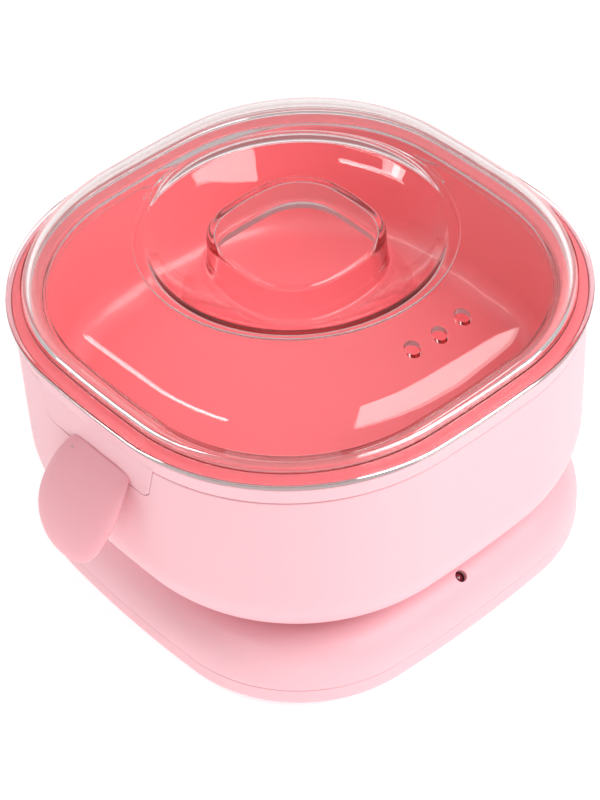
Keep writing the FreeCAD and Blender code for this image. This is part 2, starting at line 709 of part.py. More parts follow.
def indicator():
    """Round indicator on its slanted axis through the shoulder, domed at its outer end."""
    y, z = led_point("-led_deep - 1.7")
    body = cylinder("led_body", "1.7", "6", "0", y, z, led_tilt(True))
    dome = DOC.addObject("Part::Sphere", "led_dome")
    bind(dome, Radius="1.7")
    place(dome, "0", y, z)
    return node(fuse("led_fuse", [body, dome]), "indicator_led")


def indicator_holder():
    """Sleeve that holds the indicator behind the cover's wall."""
    y, z = led_point("-shell_wall - 0.5")
    tilt = led_tilt(True)
    sleeve = cylinder("holder_sleeve", "3.2", "5", "0", y, z, tilt)
    bore = cylinder("holder_bore", "1.75", "9", "0", *led_point("0"), tilt)
    return node(cut("holder_cut", sleeve, [bore]), "led_holder")


def power_inlet():
    """Mains inlet body with a flat-sided oval socket for a two-pin lead."""
    middle = "inlet_level"
    case = box("inlet_case", "inlet_wide", "inlet_deep", "inlet_high", "0", "inlet_face - inlet_deep / 2",
               "inlet_level - inlet_high / 2")
    inward = turn((1, 0, 0), 90)
    tools = [box("socket_slot", "pin_pitch", "socket_deep * 2", "socket_radius * 2", "0", "inlet_face",
                 "inlet_level - socket_radius")]
    for index, sign in enumerate((1, -1)):
        tools.append(cylinder(f"socket_end{index}", "socket_radius", "socket_deep + 1",
                              f"{sign} * pin_pitch / 2", "inlet_face + 1", middle, inward))
        tools.append(cylinder(f"socket_pinhole{index}", "pin_radius + 0.02", "inlet_deep + 2",
                              f"{sign} * pin_pitch / 2", "inlet_face + 1", middle, inward))
    return node(cut("inlet_cut", case, tools), "power_inlet")


def inlet_pins():
    inward = turn((1, 0, 0), 90)
    pins = [cylinder(f"inlet_pin{index}", "pin_radius", "inlet_deep + 2.5", f"{sign} * pin_pitch / 2",
                     "inlet_face - 1.5", "inlet_level", inward)
            for index, sign in enumerate((1, -1))]
    return node(group("pin_group", pins), "inlet_pins")


def inlet_bracket():
    """Strap over the inlet's body, seated on the tray, that keeps it in the window."""
    depth = "inlet_face - inlet_deep + 4"
    over = box("bracket_over", "inlet_wide + 4", "5", "inlet_high / 2 + inlet_level + 1.6 - foot_gap - shell_wall",
               "0", depth, "foot_gap + shell_wall")
    tools = [box("bracket_gap", "inlet_wide + 0.2", "7", "inlet_high / 2 + inlet_level + 0.1 - foot_gap", "0", depth,
                 "foot_gap")]
    return node(cut("bracket_cut", over, tools), "inlet_bracket")


def wire(name, points, radius):
    """Round wire along straight runs joined by tangent arcs."""
    route = [FreeCAD.Vector(*[number(value) for value in point]) for point in points]
    edges = []
    start = route[0]
    for before, corner, after in zip(route, route[1:], route[2:]):
        into = (corner - before).normalize()
        away = (after - corner).normalize()
        half_turn = into.getAngle(away) / 2
        trim = 0.45 * min((corner - before).Length, (after - corner).Length)
        bend = trim / math.tan(half_turn)
        inward = (away - into).normalize()
        middle = corner + inward * (math.hypot(bend, trim) - bend)
        first = corner - into * trim
        last = corner + away * trim
        edges.append(Part.LineSegment(start, first).toShape())
        edges.append(Part.Arc(first, middle, last).toShape())
        start = last
    edges.append(Part.LineSegment(start, route[-1]).toShape())
    path = Part.Wire(edges)
    ring = Part.Wire(Part.Circle(route[0], route[1] - route[0], number(radius)).toShape())
    item = DOC.addObject("Part::Feature", name)
    item.Shape = path.makePipeShell([ring], True, True)
    place(item, "0", "0", "0")
    return item


def mains_leads():
    """Two wires from the inlet's pins to the terminal block."""
    wires = []
    for index, sign in enumerate((1, -1)):
        x = f"{sign} * pin_pitch / 2"
        end = f"14 + {sign} * 3"
        wires.append(wire(f"mains_wire{index}", [
            (x, "inlet_face - inlet_deep - 4.1", "inlet_level"),
            (x, "34", "inlet_level"),
            (end, "8", "inlet_level + 5"),
            (end, "board_y + 9", "inlet_level + 8"),
            (end, "board_y + 9", "board_level + board_thick + 4.6"),
        ], "wire_radius"))
    return node(group("mains_group", wires), "mains_leads")


def heater_leads():
    """Two wires from the board, up through the neck, to the element's ends."""
    wires = []
    for index, sign in enumerate((1, -1)):
        x, y = leg_places()[0 if sign < 0 else 1]
        wires.append(wire(f"heater_wire{index}", [
            (f"{sign} * 4 - 2", "board_y + 13", "board_level + board_thick + 0.05"),
            (f"{sign} * 4 - 2", "board_y + 13", "board_level + board_thick + 7"),
            (f"{sign} * 5", "-6", "base_top - 1"),
            (f"{sign} * 6", "6", "bowl_bottom + 5"),
            (x, f"({y}) - 4", "bowl_bottom + 4.6"),
            (x, y, "well_floor - well_sheet - plate_high - 15.1"),
        ], "wire_radius"))
    return node(group("heater_lead_group", wires), "heater_leads")


# ---------------------------------------------------------------- lift-out pot


def inner_pot():
    """Coated pot: flat flange, straight wall, rounded floor edge."""
    top = "lid_seat - pot_sink"
    flange = rounded_block("pot_flange", "rim", (f"{top} - pot_sheet", top), ("pot_flange_inset", "pot_flange_inset"))
    outer = rounded_block("pot_outer", "rim", ("well_floor", top), ("pot_inset", "pot_inset"),
                          [("pot_round + pot_sheet", "well_floor")])
    inner = rounded_block("pot_inner", "rim", ("well_floor + pot_sheet", f"{top} + 1"),
                          ("pot_inset + pot_sheet", "pot_inset + pot_sheet"),
                          [("pot_round", "well_floor + pot_sheet")])
    return node(cut("inner_pot_cut", fuse("pot_solid", [flange, outer]), [inner]), "inner_pot")


def pot_ring():
    """Flared rim band with a rebate for the pot's flange, a lip into the outer bowl and the handle's tab."""
    band = rounded_block("ring_band", "rim", ("ring_seam", "lid_seat"), ("bowl_inset", "ring_flare"))
    lip = rounded_block("ring_lip_block", "rim", ("ring_seam - ring_lip", "ring_seam + 0.5"), ("lip_inset", "lip_inset"))
    bore = rounded_block("ring_bore", "rim", ("ring_seam - ring_lip - 1", "lid_seat + 1"),
                         ("pot_inset - 0.6", "pot_inset - 0.6"))
    rebate = rounded_block("ring_rebate", "rim", ("lid_seat - pot_sink - pot_sheet", "lid_seat + 1"),
                           ("pot_flange_inset - 0.25", "pot_flange_inset - 0.25"))
    skin = rounded_block("tab_skin", "rim", ("tab_foot - 1", "ring_seam + 0.5"),
                         ("bowl_inset", "bowl_inset"))
    core = rounded_block("tab_core", "rim", ("tab_foot - 2", "ring_seam + 2"),
                         ("bowl_inset + shell_wall", "bowl_inset + shell_wall"))
    tab = common("ring_tab", cut("tab_wall", skin, [core]), tab_prism("tab_form", "0"))
    holes = [bore, rebate]
    outward = turn((0, 1, 0), -90)
    for index, sign in enumerate((1, -1)):
        y = f"{sign} * grip_screw_y"
        holes.append(cylinder(f"tab_hole{index}", "1.4", "12", "-(rim_half - 12)", y, "grip_screw_z", outward))
        holes.append(cylinder(f"tab_sink{index}", "2.6", "8", "-(rim_half - bowl_inset - shell_wall + 1.4 - 8)", y,
                              "grip_screw_z", outward))
    return node(cut("pot_ring_cut", fuse("ring_solid", [band, lip, tab]), holes), "pot_ring")


def bend_slab(name, outer, inner, half):
    """Quarter tube about the handle's bend axis, between two radii, as wide as the handle."""
    along = turn((1, 0, 0), 90)
    at = ("-grip_centre_x", half, "grip_centre_z")
    return cut(name, cylinder(f"{name}_outer", outer, f"2 * ({half})", *at, along),
               [cylinder(f"{name}_inner", inner, f"2 * ({half}) + 2", at[0], f"{half} + 1", at[2], along)])


def grip_oval(name, inset):
    """Oval prism square to the handle's mean plane: the handle's outline seen from outside."""
    body = new_body(name)
    sketch = new_sketch(body, f"{name}_outline", "XY_Plane", "-40")
    long_half = number(f"grip_length - ({inset})")
    wide_half = number(f"grip_half - ({inset})")
    sketch.addGeometry(Part.Ellipse(FreeCAD.Vector(), long_half, wide_half), False)
    sketch.exposeInternalGeometry(0)
    sketch.addConstraint(Sketcher.Constraint("Coincident", 0, 3, -1, 1))
    sketch.addConstraint(Sketcher.Constraint("Horizontal", 1))
    datum(sketch, "DistanceX", "long_axis", f"2 * (grip_length - ({inset}))", 1, 2, 1, 1)
    datum(sketch, "DistanceY", "wide_axis", f"2 * (grip_half - ({inset}))", 2, 2, 2, 1)
    extrude(body, "Pad", f"{name}_pad", sketch, "80")
    return place(body, "-87.5", "0", "71.5", turn((0, 1, 0), -58))


def handle_grip():
    """Outer shell of the handle: a bent oval plate with softly rounded edges."""
    slab = bend_slab("grip_slab", "grip_radius", "grip_radius - grip_thick", "grip_half + 2")
    side = box("grip_side", "40", "60", "60", "-(rim_half - bowl_inset) - 20", "0", "grip_centre_z - 12")
    plate = common("grip_plate", common("grip_blank", slab, grip_oval("grip_shape", "0")), side)
    inward = turn((0, 1, 0), -90)
    pilots = [cylinder(f"grip_pilot{index}", "1.2", "4.6", "-(rim_half - 3)", f"{sign} * grip_screw_y", "grip_screw_z",
                       inward) for index, sign in enumerate((1, -1))]
    return node(cut("grip_cut", plate, pilots), "handle_grip")


def handle_back():
    """Thin cover on the inside of the handle."""
    inner = "grip_radius - grip_thick - 0.1"
    slab = bend_slab("back_slab", inner, f"{inner} - grip_back", "grip_half + 2")
    side = box("back_side", "40", "60", "60", "-(rim_half - bowl_inset) - 21.5", "0", "grip_centre_z - 12")
    return node(common("back_plate", common("back_blank", slab, grip_oval("back_shape", "1")), side), "handle_back")


def handle_screws():
    """Two countersunk screws through the tab into the handle's root."""
    outward = turn((0, 1, 0), -90)
    screws = []
    for index, sign in enumerate((1, -1)):
        y = f"{sign} * grip_screw_y"
        seat = "-(rim_half - bowl_inset - shell_wall)"
        screws.append(fuse(f"handle_screw{index}", [
            cylinder(f"handle_screw{index}_head", "2.5", "1.3", f"{seat} - 0.1", y, "grip_screw_z", outward),
            cylinder(f"handle_screw{index}_shank", "1.15", "5.3", f"{seat} - 0.1", y, "grip_screw_z", outward),
        ]))
    return node(group("handle_screw_group", screws), "handle_screws")


# ---------------------------------------------------------------- lid


def dome_outline(part, wall):
    """Blend of the dish's round land (part 0) and the lid's rounded square (part 1)."""
    land = f"(dish_radius + dish_land + ({wall}))"
    square = inset("rim", f"lid_step + ({wall})")
    return tuple(f"{land} * (1 - {part}) + ({text}) * {part}" for text in square)


def lid_form(name, wall):
    """Raised lid body moved inwards by a wall: a quarter-ellipse dome, a ball-shaped dish and a square knob."""
    top = f"lid_top - ({wall})"
    low = "lid_seat + lid_flange"
    body = new_body(name)
    sections = [rounded_square(body, f"{name}_foot", dome_outline(1, wall), f"{low} - 0.5")]
    for index in range(DOME_STEPS + 1):
        angle = index * 90 / DOME_STEPS
        part = max(round(math.cos(math.radians(angle)), 5), 0.001)
        rise = round(math.sin(math.radians(angle)), 5)
        sections.append(rounded_square(body, f"{name}_arc{index}", dome_outline(part, wall),
                                       f"{low} + ({top} - ({low})) * {rise}"))
    loft(body, "Additive", f"{name}_dome", sections)
    DOC.recompute()
    ball = body.newObject("PartDesign::SubtractiveSphere", f"{name}_dish")
    attach(body, ball, "XY_Plane", "lid_top + sqrt(dish_ball ^ 2 - dish_radius ^ 2)")
    bind(ball, Radius=f"dish_ball + ({wall})")
    DOC.recompute()
    knob = [
        rounded_square(body, f"{name}_knob0", inset("knob", f"({wall}) - knob_draft"), f"{low} - 0.7"),
        rounded_square(body, f"{name}_knob1", inset("knob", wall), top),
    ]
    loft(body, "Additive", f"{name}_knob", knob)
    fillet(body, f"{name}_dish_edge", f"dish_edge - ({wall})", top, number("dish_radius - 1"),
           number("dish_radius + 2.5"))
    edge = "knob_round" if wall == "0" else "knob_round / 2"
    fillet(body, f"{name}_knob_edge", edge, top, 0, number("knob_half + 12"))
    return body


def lid():
    """Clear moulded lid: flange, locating rib, dome with a round dish, hollow knob and steam vents."""
    form = lid_form("lid_outer", "0")
    flange = rounded_block("lid_flange_plate", "rim", ("lid_seat", "lid_seat + lid_flange"), ("0", "0"),
                           [("0.9", "lid_seat + lid_flange"), ("0.6", "lid_seat")])
    rib = rounded_block("lid_rib_block", "rim", ("lid_seat - lid_rib_deep", "lid_seat + 0.5"),
                        ("lid_rib_inset", "lid_rib_inset"))
    hollow = lid_form("lid_inner", "lid_wall")
    mouth = rounded_block("lid_mouth", "rim", ("lid_seat - lid_rib_deep - 1", "lid_seat + lid_flange"),
                          ("lid_rib_inset + lid_rib", "lid_rib_inset + lid_rib"))
    holes = [hollow, mouth]
    for index in (-1, 0, 1):
        x, y = polar("vent_circle", f"{index} * vent_step - 90")
        holes.append(cylinder(f"lid_vent{index + 1}", "vent_radius", "12", x, y, "lid_top - 9"))
    return node(cut("lid_cut", fuse("lid_solid", [form, flange, rib]), holes), "lid")


# ---------------------------------------------------------------- build


def check(item):
    """Stop on a failed object or a sub-part whose shape is empty or not valid."""
    if item.Shape.isNull() or not item.Shape.isValid():
        raise RuntimeError(f"{item.Label} has no valid shape")
    if not item.Shape.Solids:
        raise RuntimeError(f"{item.Label} has no solid")


def main():
    fill_sheet()
    for make in (
        base_bottom, base_top, rubber_feet, base_screws, neck_collar, housing_bowl, neck_screws, heater_well,
        heater_plate, heating_element, stud_nuts, heat_shield, insulation_felt, shield_screws, thermostat,
        thermal_fuse, control_board, board_screws, power_module, terminal_block, indicator, indicator_holder,
        power_inlet, inlet_pins, inlet_bracket, mains_leads, heater_leads, inner_pot, pot_ring, handle_grip,
        handle_back, handle_screws, lid,
    ):
        make()
    DOC.recompute()
    for item in DOC.Objects:
        if "Invalid" in item.State or "Error" in item.State:
            raise RuntimeError(f"{item.Name} failed: {item.State}")
    os.makedirs("parts", exist_ok=True)
    for item in NODES:
        check(item)
        item.Shape.exportStep(f"parts/{item.Label}.step")
        print(f"{item.Label}: {len(item.Shape.Solids)} solids, {item.Shape.Volume / 1000:.2f} cm3")


NODES = []
main()
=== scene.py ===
import json
import math

import bpy
import numpy as np
from bpy.props import FloatProperty, FloatVectorProperty, PointerProperty
from mathutils import Matrix, Vector


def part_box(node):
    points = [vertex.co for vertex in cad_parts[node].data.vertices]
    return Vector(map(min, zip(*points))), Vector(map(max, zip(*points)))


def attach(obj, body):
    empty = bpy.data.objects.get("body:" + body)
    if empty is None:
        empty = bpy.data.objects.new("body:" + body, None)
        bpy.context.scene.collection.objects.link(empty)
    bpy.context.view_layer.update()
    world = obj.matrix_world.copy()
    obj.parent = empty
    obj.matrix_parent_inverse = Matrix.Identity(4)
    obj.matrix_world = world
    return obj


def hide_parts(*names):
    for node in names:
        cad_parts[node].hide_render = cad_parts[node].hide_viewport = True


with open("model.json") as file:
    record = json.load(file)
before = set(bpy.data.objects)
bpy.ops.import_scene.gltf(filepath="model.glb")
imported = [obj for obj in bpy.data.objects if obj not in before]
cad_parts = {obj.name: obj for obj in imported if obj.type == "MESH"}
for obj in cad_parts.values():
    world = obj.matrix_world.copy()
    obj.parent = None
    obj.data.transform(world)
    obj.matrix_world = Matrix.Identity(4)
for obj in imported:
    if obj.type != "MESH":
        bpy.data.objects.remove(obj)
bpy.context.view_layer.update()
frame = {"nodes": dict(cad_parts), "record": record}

bl_info = {
    "name": "Wax warmer pot",
    "version": (1, 0, 0),
    "blender": (4, 5, 0),
    "location": "View3D > Sidebar > Warmer",
    "description": "Builds the casing, the lift-out pot and the clear lid of a wax warmer round its frame",
    "category": "Add Mesh",
}

# Metres, +Z up, the origin on the floor under the warmer's axis. -Y is the front, -X carries the handle.

MM = 0.001
LID_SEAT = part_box("pot_ring")[1][2]
LID_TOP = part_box("lid")[1][2]
BOWL_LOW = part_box("housing_bowl")[0][2]
BOWL_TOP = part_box("housing_bowl")[1][2]
BASE_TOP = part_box("base_top")[1][2]
BASE_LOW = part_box("base_bottom")[0][2]
TAB_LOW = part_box("pot_ring")[0][2]
POT_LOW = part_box("inner_pot")[0][2]
POT_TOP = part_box("inner_pot")[1][2]
WELL_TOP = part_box("heater_well")[1][2]


def length(name, default, description):
    return FloatProperty(name=name, description=description, default=default * MM, unit="LENGTH",
                         subtype="DISTANCE", precision=4)


def colour(name, default, description):
    return FloatVectorProperty(name=name, description=description, default=default, size=3, subtype="COLOR",
                               min=0.0, max=1.0)


class WarmerSizes(bpy.types.PropertyGroup):
    """Sizes of the warmer's shells, in metres."""

    rim_half: length("Rim half width", 85.0, "Half width of the rounded square at the lid's flange")
    rim_side: length("Rim side radius", 466.0, "Radius of the rim's bowed sides")
    rim_corner: length("Rim corner radius", 67.7, "Radius of the rim's corners")
    base_half: length("Base half width", 79.0, "Half width of the base")
    base_side: length("Base side radius", 435.0, "Radius of the base's bowed sides")
    base_corner: length("Base corner radius", 49.7, "Radius of the base's corners")
    base_round: length("Base shoulder", 13.9, "Radius of the base's shoulder")
    base_toe: length("Base toe", 2.5, "Radius of the base's bottom edge")
    base_seam: length("Base seam", 8.6, "Height of the seam between the base's two shells")
    foot_radius: length("Foot radius", 5.9, "Radius of a rubber foot")
    foot_recess: length("Foot recess", 6.0, "Radius of the recess that a foot stands in")
    screw_head: length("Screw head", 2.8, "Radius of the base screws' heads")
    screw_sink: length("Screw sink", 3.1, "Radius of the holes that the base screws' heads lie in")
    lamp_hole: length("Indicator hole", 2.0, "Radius of the indicator's hole")
    lamp_radius: length("Indicator radius", 1.7, "Radius of the indicator's lens")
    knob_half: length("Knob half width", 25.2, "Half width of the knob's top")
    knob_side: length("Knob side radius", 74.7, "Radius of the knob's bowed sides")
    knob_corner: length("Knob corner radius", 18.3, "Radius of the knob's corners")
    knob_draft: length("Knob draft", 0.8, "How much wider the knob is at its foot")
    knob_round: length("Knob edge", 1.8, "Radius of the knob's top edge")
    shell_wall: length("Shell wall", 2.2, "Wall of the moulded shells")
    well_wall: length("Well wall", 1.2, "Thickness of the heated well")
    well_gap: length("Well gap", 0.6, "Gap between the well's wall and the pot")
    notch_gap: length("Notch gap", 0.2, "Gap between the ring's tab and its notch in the bowl")
    bowl_thick: length("Bowl thickening", 1.6, "How much thicker the bowl's wall is under the well's ledge")
    bowl_inset: length("Bowl inset", 1.8, "How far the outer bowl stands in from the lid's flange")
    bowl_round: length("Bowl bottom radius", 24.0, "Radius between the bowl's wall and its underside")
    ring_flare: length("Ring flare", 0.4, "How far the ring's top edge stands in from the lid's flange")
    pot_inset: length("Pot inset", 9.2, "How far the pot's wall stands in from the lid's flange")
    pot_sheet: length("Pot sheet", 1.6, "Thickness of the pot")
    pot_round: length("Pot floor radius", 9.0, "Radius between the pot's wall and floor")
    lid_flange: length("Lid flange", 2.4, "Thickness of the lid's flange")
    lid_step: length("Lid step", 5.0, "Width of the lid's flange in front of its dome")
    lid_wall: length("Lid wall", 2.2, "Wall of the lid")
    dish_radius: length("Dish radius", 46.4, "Radius of the round dish at the lid's top")
    dish_ball: length("Dish ball", 66.0, "Radius of the ball that shapes the dish")
    dish_edge: length("Dish edge", 4.0, "Radius of the dish's upper edge")
    dish_land: length("Dish land", 3.8, "Width of the bead round the dish")
    bead: length("Bead", 0.8, "How far the bead round the dish stands above the dome")
    rib_inset: length("Rib inset", 11.4, "How far the lid's locating rib stands in from its flange")
    rib_wall: length("Rib wall", 1.4, "Thickness of the lid's locating rib")
    vent_radius: length("Vent radius", 2.5, "Radius of a steam vent")
    vent_circle: length("Vent circle", 62.8, "Radius of the circle that the vents lie on")
    tab_half: length("Tab half width", 24.2, "Half width of the ring's tab at its lower edge")
    tab_spread: length("Tab spread", 3.8, "How much wider the tab is at the seam")
    tab_corner: length("Tab corner", 4.0, "Radius of the tab's lower corners")
    tab_rise: length("Tab rise", 2.0, "How far the tab's lower edge stands above its frame's")
    grip_radius: length("Handle bend", 42.4, "Radius of the handle's outer face")
    grip_height: length("Handle bend height", 48.5, "Height of the middle of the handle's bend")
    grip_back: length("Handle cover thickness", 1.8, "Thickness of the handle's back cover")
    grip_half: length("Handle half width", 16.5, "Half width of the handle")
    grip_thick: length("Handle thickness", 7.6, "Thickness of the handle's crowned shell")
    grip_lean: length("Handle lean", 3.2, "How far the handle's root stands to the front")


class WarmerColours(bpy.types.PropertyGroup):
    """Colours of the visible finishes."""

    shell: colour("Casing", (0.93, 0.53, 0.58), "Soft matt plastic of base, bowl and ring")
    handle: colour("Handle", (0.89, 0.41, 0.46), "Soft matt plastic of the handle")
    pot: colour("Pot", (0.93, 0.17, 0.195), "Coating of the lift-out pot")
    lid: colour("Lid", (0.985, 0.985, 0.985), "Clear lid")
    # Painted reflection: pink tint at grazing angles for the pink casing and pot seen in the lid's edges, along with
    # the longer way through the plastic.
    lid_edge_painted_tint: colour("Lid edge", (0.90, 0.80, 0.80), "Clear lid seen at a grazing angle")
    indicator: colour("Indicator", (0.16, 0.008, 0.02), "Tinted lens of the indicator")
    floor: colour("Floor", (0.97, 0.965, 0.965), "Floor of the studio")


# ---------------------------------------------------------------- outlines and surfaces

QUARTER_ANGLES = np.radians(np.concatenate([
    np.linspace(-45, -8, 20, endpoint=False),
    np.linspace(-8, 8, 16, endpoint=False),
    np.linspace(8, 45, 20, endpoint=False),
]))
ANGLES = np.concatenate([QUARTER_ANGLES + quarter * math.pi / 2 for quarter in range(4)])
FACING = np.stack([np.cos(ANGLES), np.sin(ANGLES)], axis=1)
HOLD = 0.35 * MM


def rounded_square(half, side, corner):
    """Arc centres and arc radii of a rounded square, for each direction that its outline faces.

    Four bowed sides and four corners are tangent arcs. A side's arc leans to both sides of its axis, and its
    centre lies side - half behind the middle. A corner's centre lies on the diagonal."""
    lean = math.acos((side - half) / (side - corner) / math.sqrt(2)) - math.pi / 4
    along = np.round(ANGLES / (math.pi / 2)) * (math.pi / 2)
    turn = ANGLES - along
    across = along + np.copysign(math.pi / 4, turn)
    middle = math.sqrt(2) * (side - corner) * math.sin(lean)
    on_side = np.abs(turn) <= lean
    reach = np.where(on_side, half - side, middle)
    heading = np.where(on_side, along, across)
    centres = reach[:, None] * np.stack([np.cos(heading), np.sin(heading)], axis=1)
    return centres, np.where(on_side, side, corner)


def outline(family):
    """The named rounded square: rim, base or knob."""
    sizes = bpy.context.scene.warmer_sizes
    return rounded_square(*(getattr(sizes, f"{family}_{part}") for part in ("half", "side", "corner")))


def rings(rows, *families):
    """Grid of points, one closed ring for each row of (a weight for each family, growth, height).

    A ring's point is the weighted sum of the families' arc centres, plus the weighted sum of their arc radii
    and the growth, along the direction that the outline faces there. With no weight it is a circle."""
    rows = np.asarray(rows, float)
    weights = rows[:, :-2]
    centre = np.zeros((len(rows), len(ANGLES), 2))
    radius = np.repeat(rows[:, -2:-1], len(ANGLES), axis=1)
    for weight, (centres, radii) in zip(weights.T, families):
        centre += weight[:, None, None] * centres
        radius += weight[:, None] * radii
    flat = centre + radius[:, :, None] * FACING
    height = np.repeat(rows[:, -1:], len(ANGLES), axis=1)
    return np.concatenate([flat, height[:, :, None]], axis=2)


def rounded(corners, closed=False, steps=6):
    """Profile through corners of (growth, height, radius): straight runs and tangent arcs.

    An arc's centre lies on its corner's bisector, radius / sin(half angle) away. A long run gets a point close
    to each of its ends, which keeps the shading of flat walls flat."""
    points = np.array([corner[:2] for corner in corners], float)
    path = []
    for index, (x, z, radius) in enumerate(corners):
        point = points[index]
        if radius == 0 or (not closed and index in (0, len(corners) - 1)):
            path.append(point[None])
            continue
        back = points[index - 1] - point
        ahead = points[(index + 1) % len(points)] - point
        back /= np.linalg.norm(back)
        ahead /= np.linalg.norm(ahead)
        half = math.acos(np.clip(back @ ahead, -1, 1)) / 2
        bisector = (back + ahead) / np.linalg.norm(back + ahead)
        middle = point + bisector * radius / math.sin(half)
        start = point + back * radius / math.tan(half) - middle
        end = point + ahead * radius / math.tan(half) - middle
        sweep = math.copysign(math.pi - 2 * half, start[0] * end[1] - start[1] * end[0])
        angle = math.atan2(start[1], start[0]) + sweep * np.linspace(0, 1, steps + 1)
        path.append(middle + radius * np.stack([np.cos(angle), np.sin(angle)], axis=1))
    path = np.concatenate(path)
    after = np.roll(path, -1, axis=0)
    run = after - path
    size = np.linalg.norm(run, axis=1)
    long_run = size > 6 * HOLD
    if not closed:
        long_run[-1] = False
    step = run / np.maximum(size, 1e-9)[:, None] * HOLD
    near = np.where(long_run[:, None], path + step, np.nan)
    far = np.where(long_run[:, None], after - step, np.nan)
    full = np.stack([path, near, far], axis=1).reshape(-1, 2)
    return full[~np.isnan(full[:, 0])]


def rows_of(profile, *weights):
    """Profile points with the same outline weights put in front of each."""
    return np.column_stack([np.tile(weights, (len(profile), 1)), profile])


def grid_mesh(grid, ring=False):
    """Points and faces of a grid whose columns close. As a ring its rows close too; else its first and last
    rows are single points. Faces are turned so that the volume is positive."""
    body = grid if ring else grid[1:-1]
    rows, columns = body.shape[:2]
    points = body.reshape(-1, 3)
    index = np.arange(rows * columns).reshape(rows, columns)
    lower = index if ring else index[:-1]
    upper = np.roll(index, -1, axis=0) if ring else index[1:]
    quads = np.stack([lower, np.roll(lower, -1, 1), np.roll(upper, -1, 1), upper], axis=-1).reshape(-1, 4)
    faces = quads.tolist()
    volume = signed_volume(points, quads)
    if not ring:
        foot, top = len(points), len(points) + 1
        points = np.concatenate([points, grid[0, :1], grid[-1, :1]])
        first, last = index[0], index[-1]
        fans = np.concatenate([
            np.stack([np.full(columns, foot), np.roll(first, -1), first], axis=1),
            np.stack([np.full(columns, top), last, np.roll(last, -1)], axis=1),
        ])
        faces += fans.tolist()
        volume += signed_volume(points, np.column_stack([fans, fans[:, 2]]))
    if volume < 0:
        faces = [face[::-1] for face in faces]
    return points, faces


def signed_volume(points, quads):
    """Six times the volume under the quads, each cut in two triangles."""
    a, b, c, d = (points[quads[:, corner]] for corner in range(4))
    return float((a * np.cross(b, c)).sum() + (a * np.cross(c, d)).sum())


def piece(name, shells, body, replaces, material):
    """One object made of closed shells of (points, faces), which rides on a body and replaces CAD nodes."""
    points, faces, start = [], [], 0
    for shell_points, shell_faces in shells:
        points.append(shell_points)
        faces += [[corner + start for corner in face] for face in shell_faces]
        start += len(shell_points)
    mesh = bpy.data.meshes.new(name)
    mesh.from_pydata(np.concatenate(points).tolist(), [], faces)
    mesh.polygons.foreach_set("use_smooth", np.ones(len(mesh.polygons), bool))
    mesh.update()
    item = bpy.data.objects.new(name, mesh)
    bpy.context.scene.collection.objects.link(item)
    mesh.materials.append(material)
    if body:
        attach(item, body)
        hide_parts(*replaces)
    return item


def turned(profile, place, axis=(0, 0, 1)):
    """Closed shell turned about an axis: profile of (radius, height) from one pole to the other."""
    grid = rings(profile)
    spin = Vector((0, 0, 1)).rotation_difference(Vector(axis)).to_matrix()
    return grid_mesh(grid @ np.array(spin).T + np.array(place))


def rod(radius, low, high, place, axis=(0, 0, 1), edge=0.0):
    """Closed cylinder with rounded ends."""
    return turned(rounded([(0, low, 0), (radius, low, edge), (radius, high, edge), (0, high, 0)]), place, axis)


def bar(low, high, edge):
    """Closed box between two corners with rounded upright edges."""
    low, high = np.array(low), np.array(high)
    middle, half = (low + high) / 2, (high - low) / 2
    signs = np.sign(FACING) + (FACING == 0)
    flat = middle[:2] + signs * (half[:2] - edge) + edge * FACING
    levels = np.array([low[2], low[2], high[2], high[2]])
    grid = np.zeros((4, len(ANGLES), 3))
    grid[:, :, :2] = flat
    grid[:, :, 2] = levels[:, None]
    grid[0] = grid[0].mean(axis=0)
    grid[3] = grid[3].mean(axis=0)
    return grid_mesh(grid)


def drill(item, shells):
    """Cut closed shells out of a piece, and keep the edges of the holes crisp."""
    tool = piece(f"{item.name}_tool", shells, None, None, item.data.materials[0])
    cutter = item.modifiers.new("Holes", "BOOLEAN")
    cutter.object = tool
    cutter.operation = "DIFFERENCE"
    cutter.solver = "EXACT"
    result = bpy.data.meshes.new_from_object(item.evaluated_get(bpy.context.evaluated_depsgraph_get()))
    item.modifiers.clear()
    old = item.data
    item.data = result
    result.name = old.name
    bpy.data.meshes.remove(old)
    bpy.data.objects.remove(tool)
    result.polygons.foreach_set("use_smooth", np.ones(len(result.polygons), bool))
    result.set_sharp_from_angle(angle=math.radians(40))


# ---------------------------------------------------------------- finishes


def new_group(name, inputs, outputs):
    """Empty shader node group with its sockets, and its input and output nodes."""
    tree = bpy.data.node_groups.new(name, "ShaderNodeTree")
    for label, kind, default in inputs:
        tree.interface.new_socket(label, in_out="INPUT", socket_type=kind).default_value = default
    for label, kind in outputs:
        tree.interface.new_socket(label, in_out="OUTPUT", socket_type=kind)
    return tree, tree.nodes.new("NodeGroupInput"), tree.nodes.new("NodeGroupOutput")


def join(tree, source, target):
    tree.links.new(source, target)


def math_node(tree, operation, first, second):
    """Math node whose inputs are sockets or numbers."""
    item = tree.nodes.new("ShaderNodeMath")
    item.operation = operation
    for socket, value in zip(item.inputs, (first, second)):
        if isinstance(value, (int, float)):
            socket.default_value = value
        else:
            join(tree, value, socket)
    return item.outputs[0]


def noise(tree, scale, detail=3.0, stretch=None):
    """Noise on object coordinates, at a scale given as a socket or a number."""
    where = tree.nodes.new("ShaderNodeTexCoord").outputs["Object"]
    if stretch:
        mapping = tree.nodes.new("ShaderNodeMapping")
        mapping.inputs["Scale"].default_value = stretch
        join(tree, where, mapping.inputs["Vector"])
        where = mapping.outputs[0]
    item = tree.nodes.new("ShaderNodeTexNoise")
    item.inputs["Detail"].default_value = detail
    join(tree, where, item.inputs["Vector"])
    if isinstance(scale, (int, float)):
        item.inputs["Scale"].default_value = scale
    else:
        join(tree, scale, item.inputs["Scale"])
    return item.outputs["Fac"]


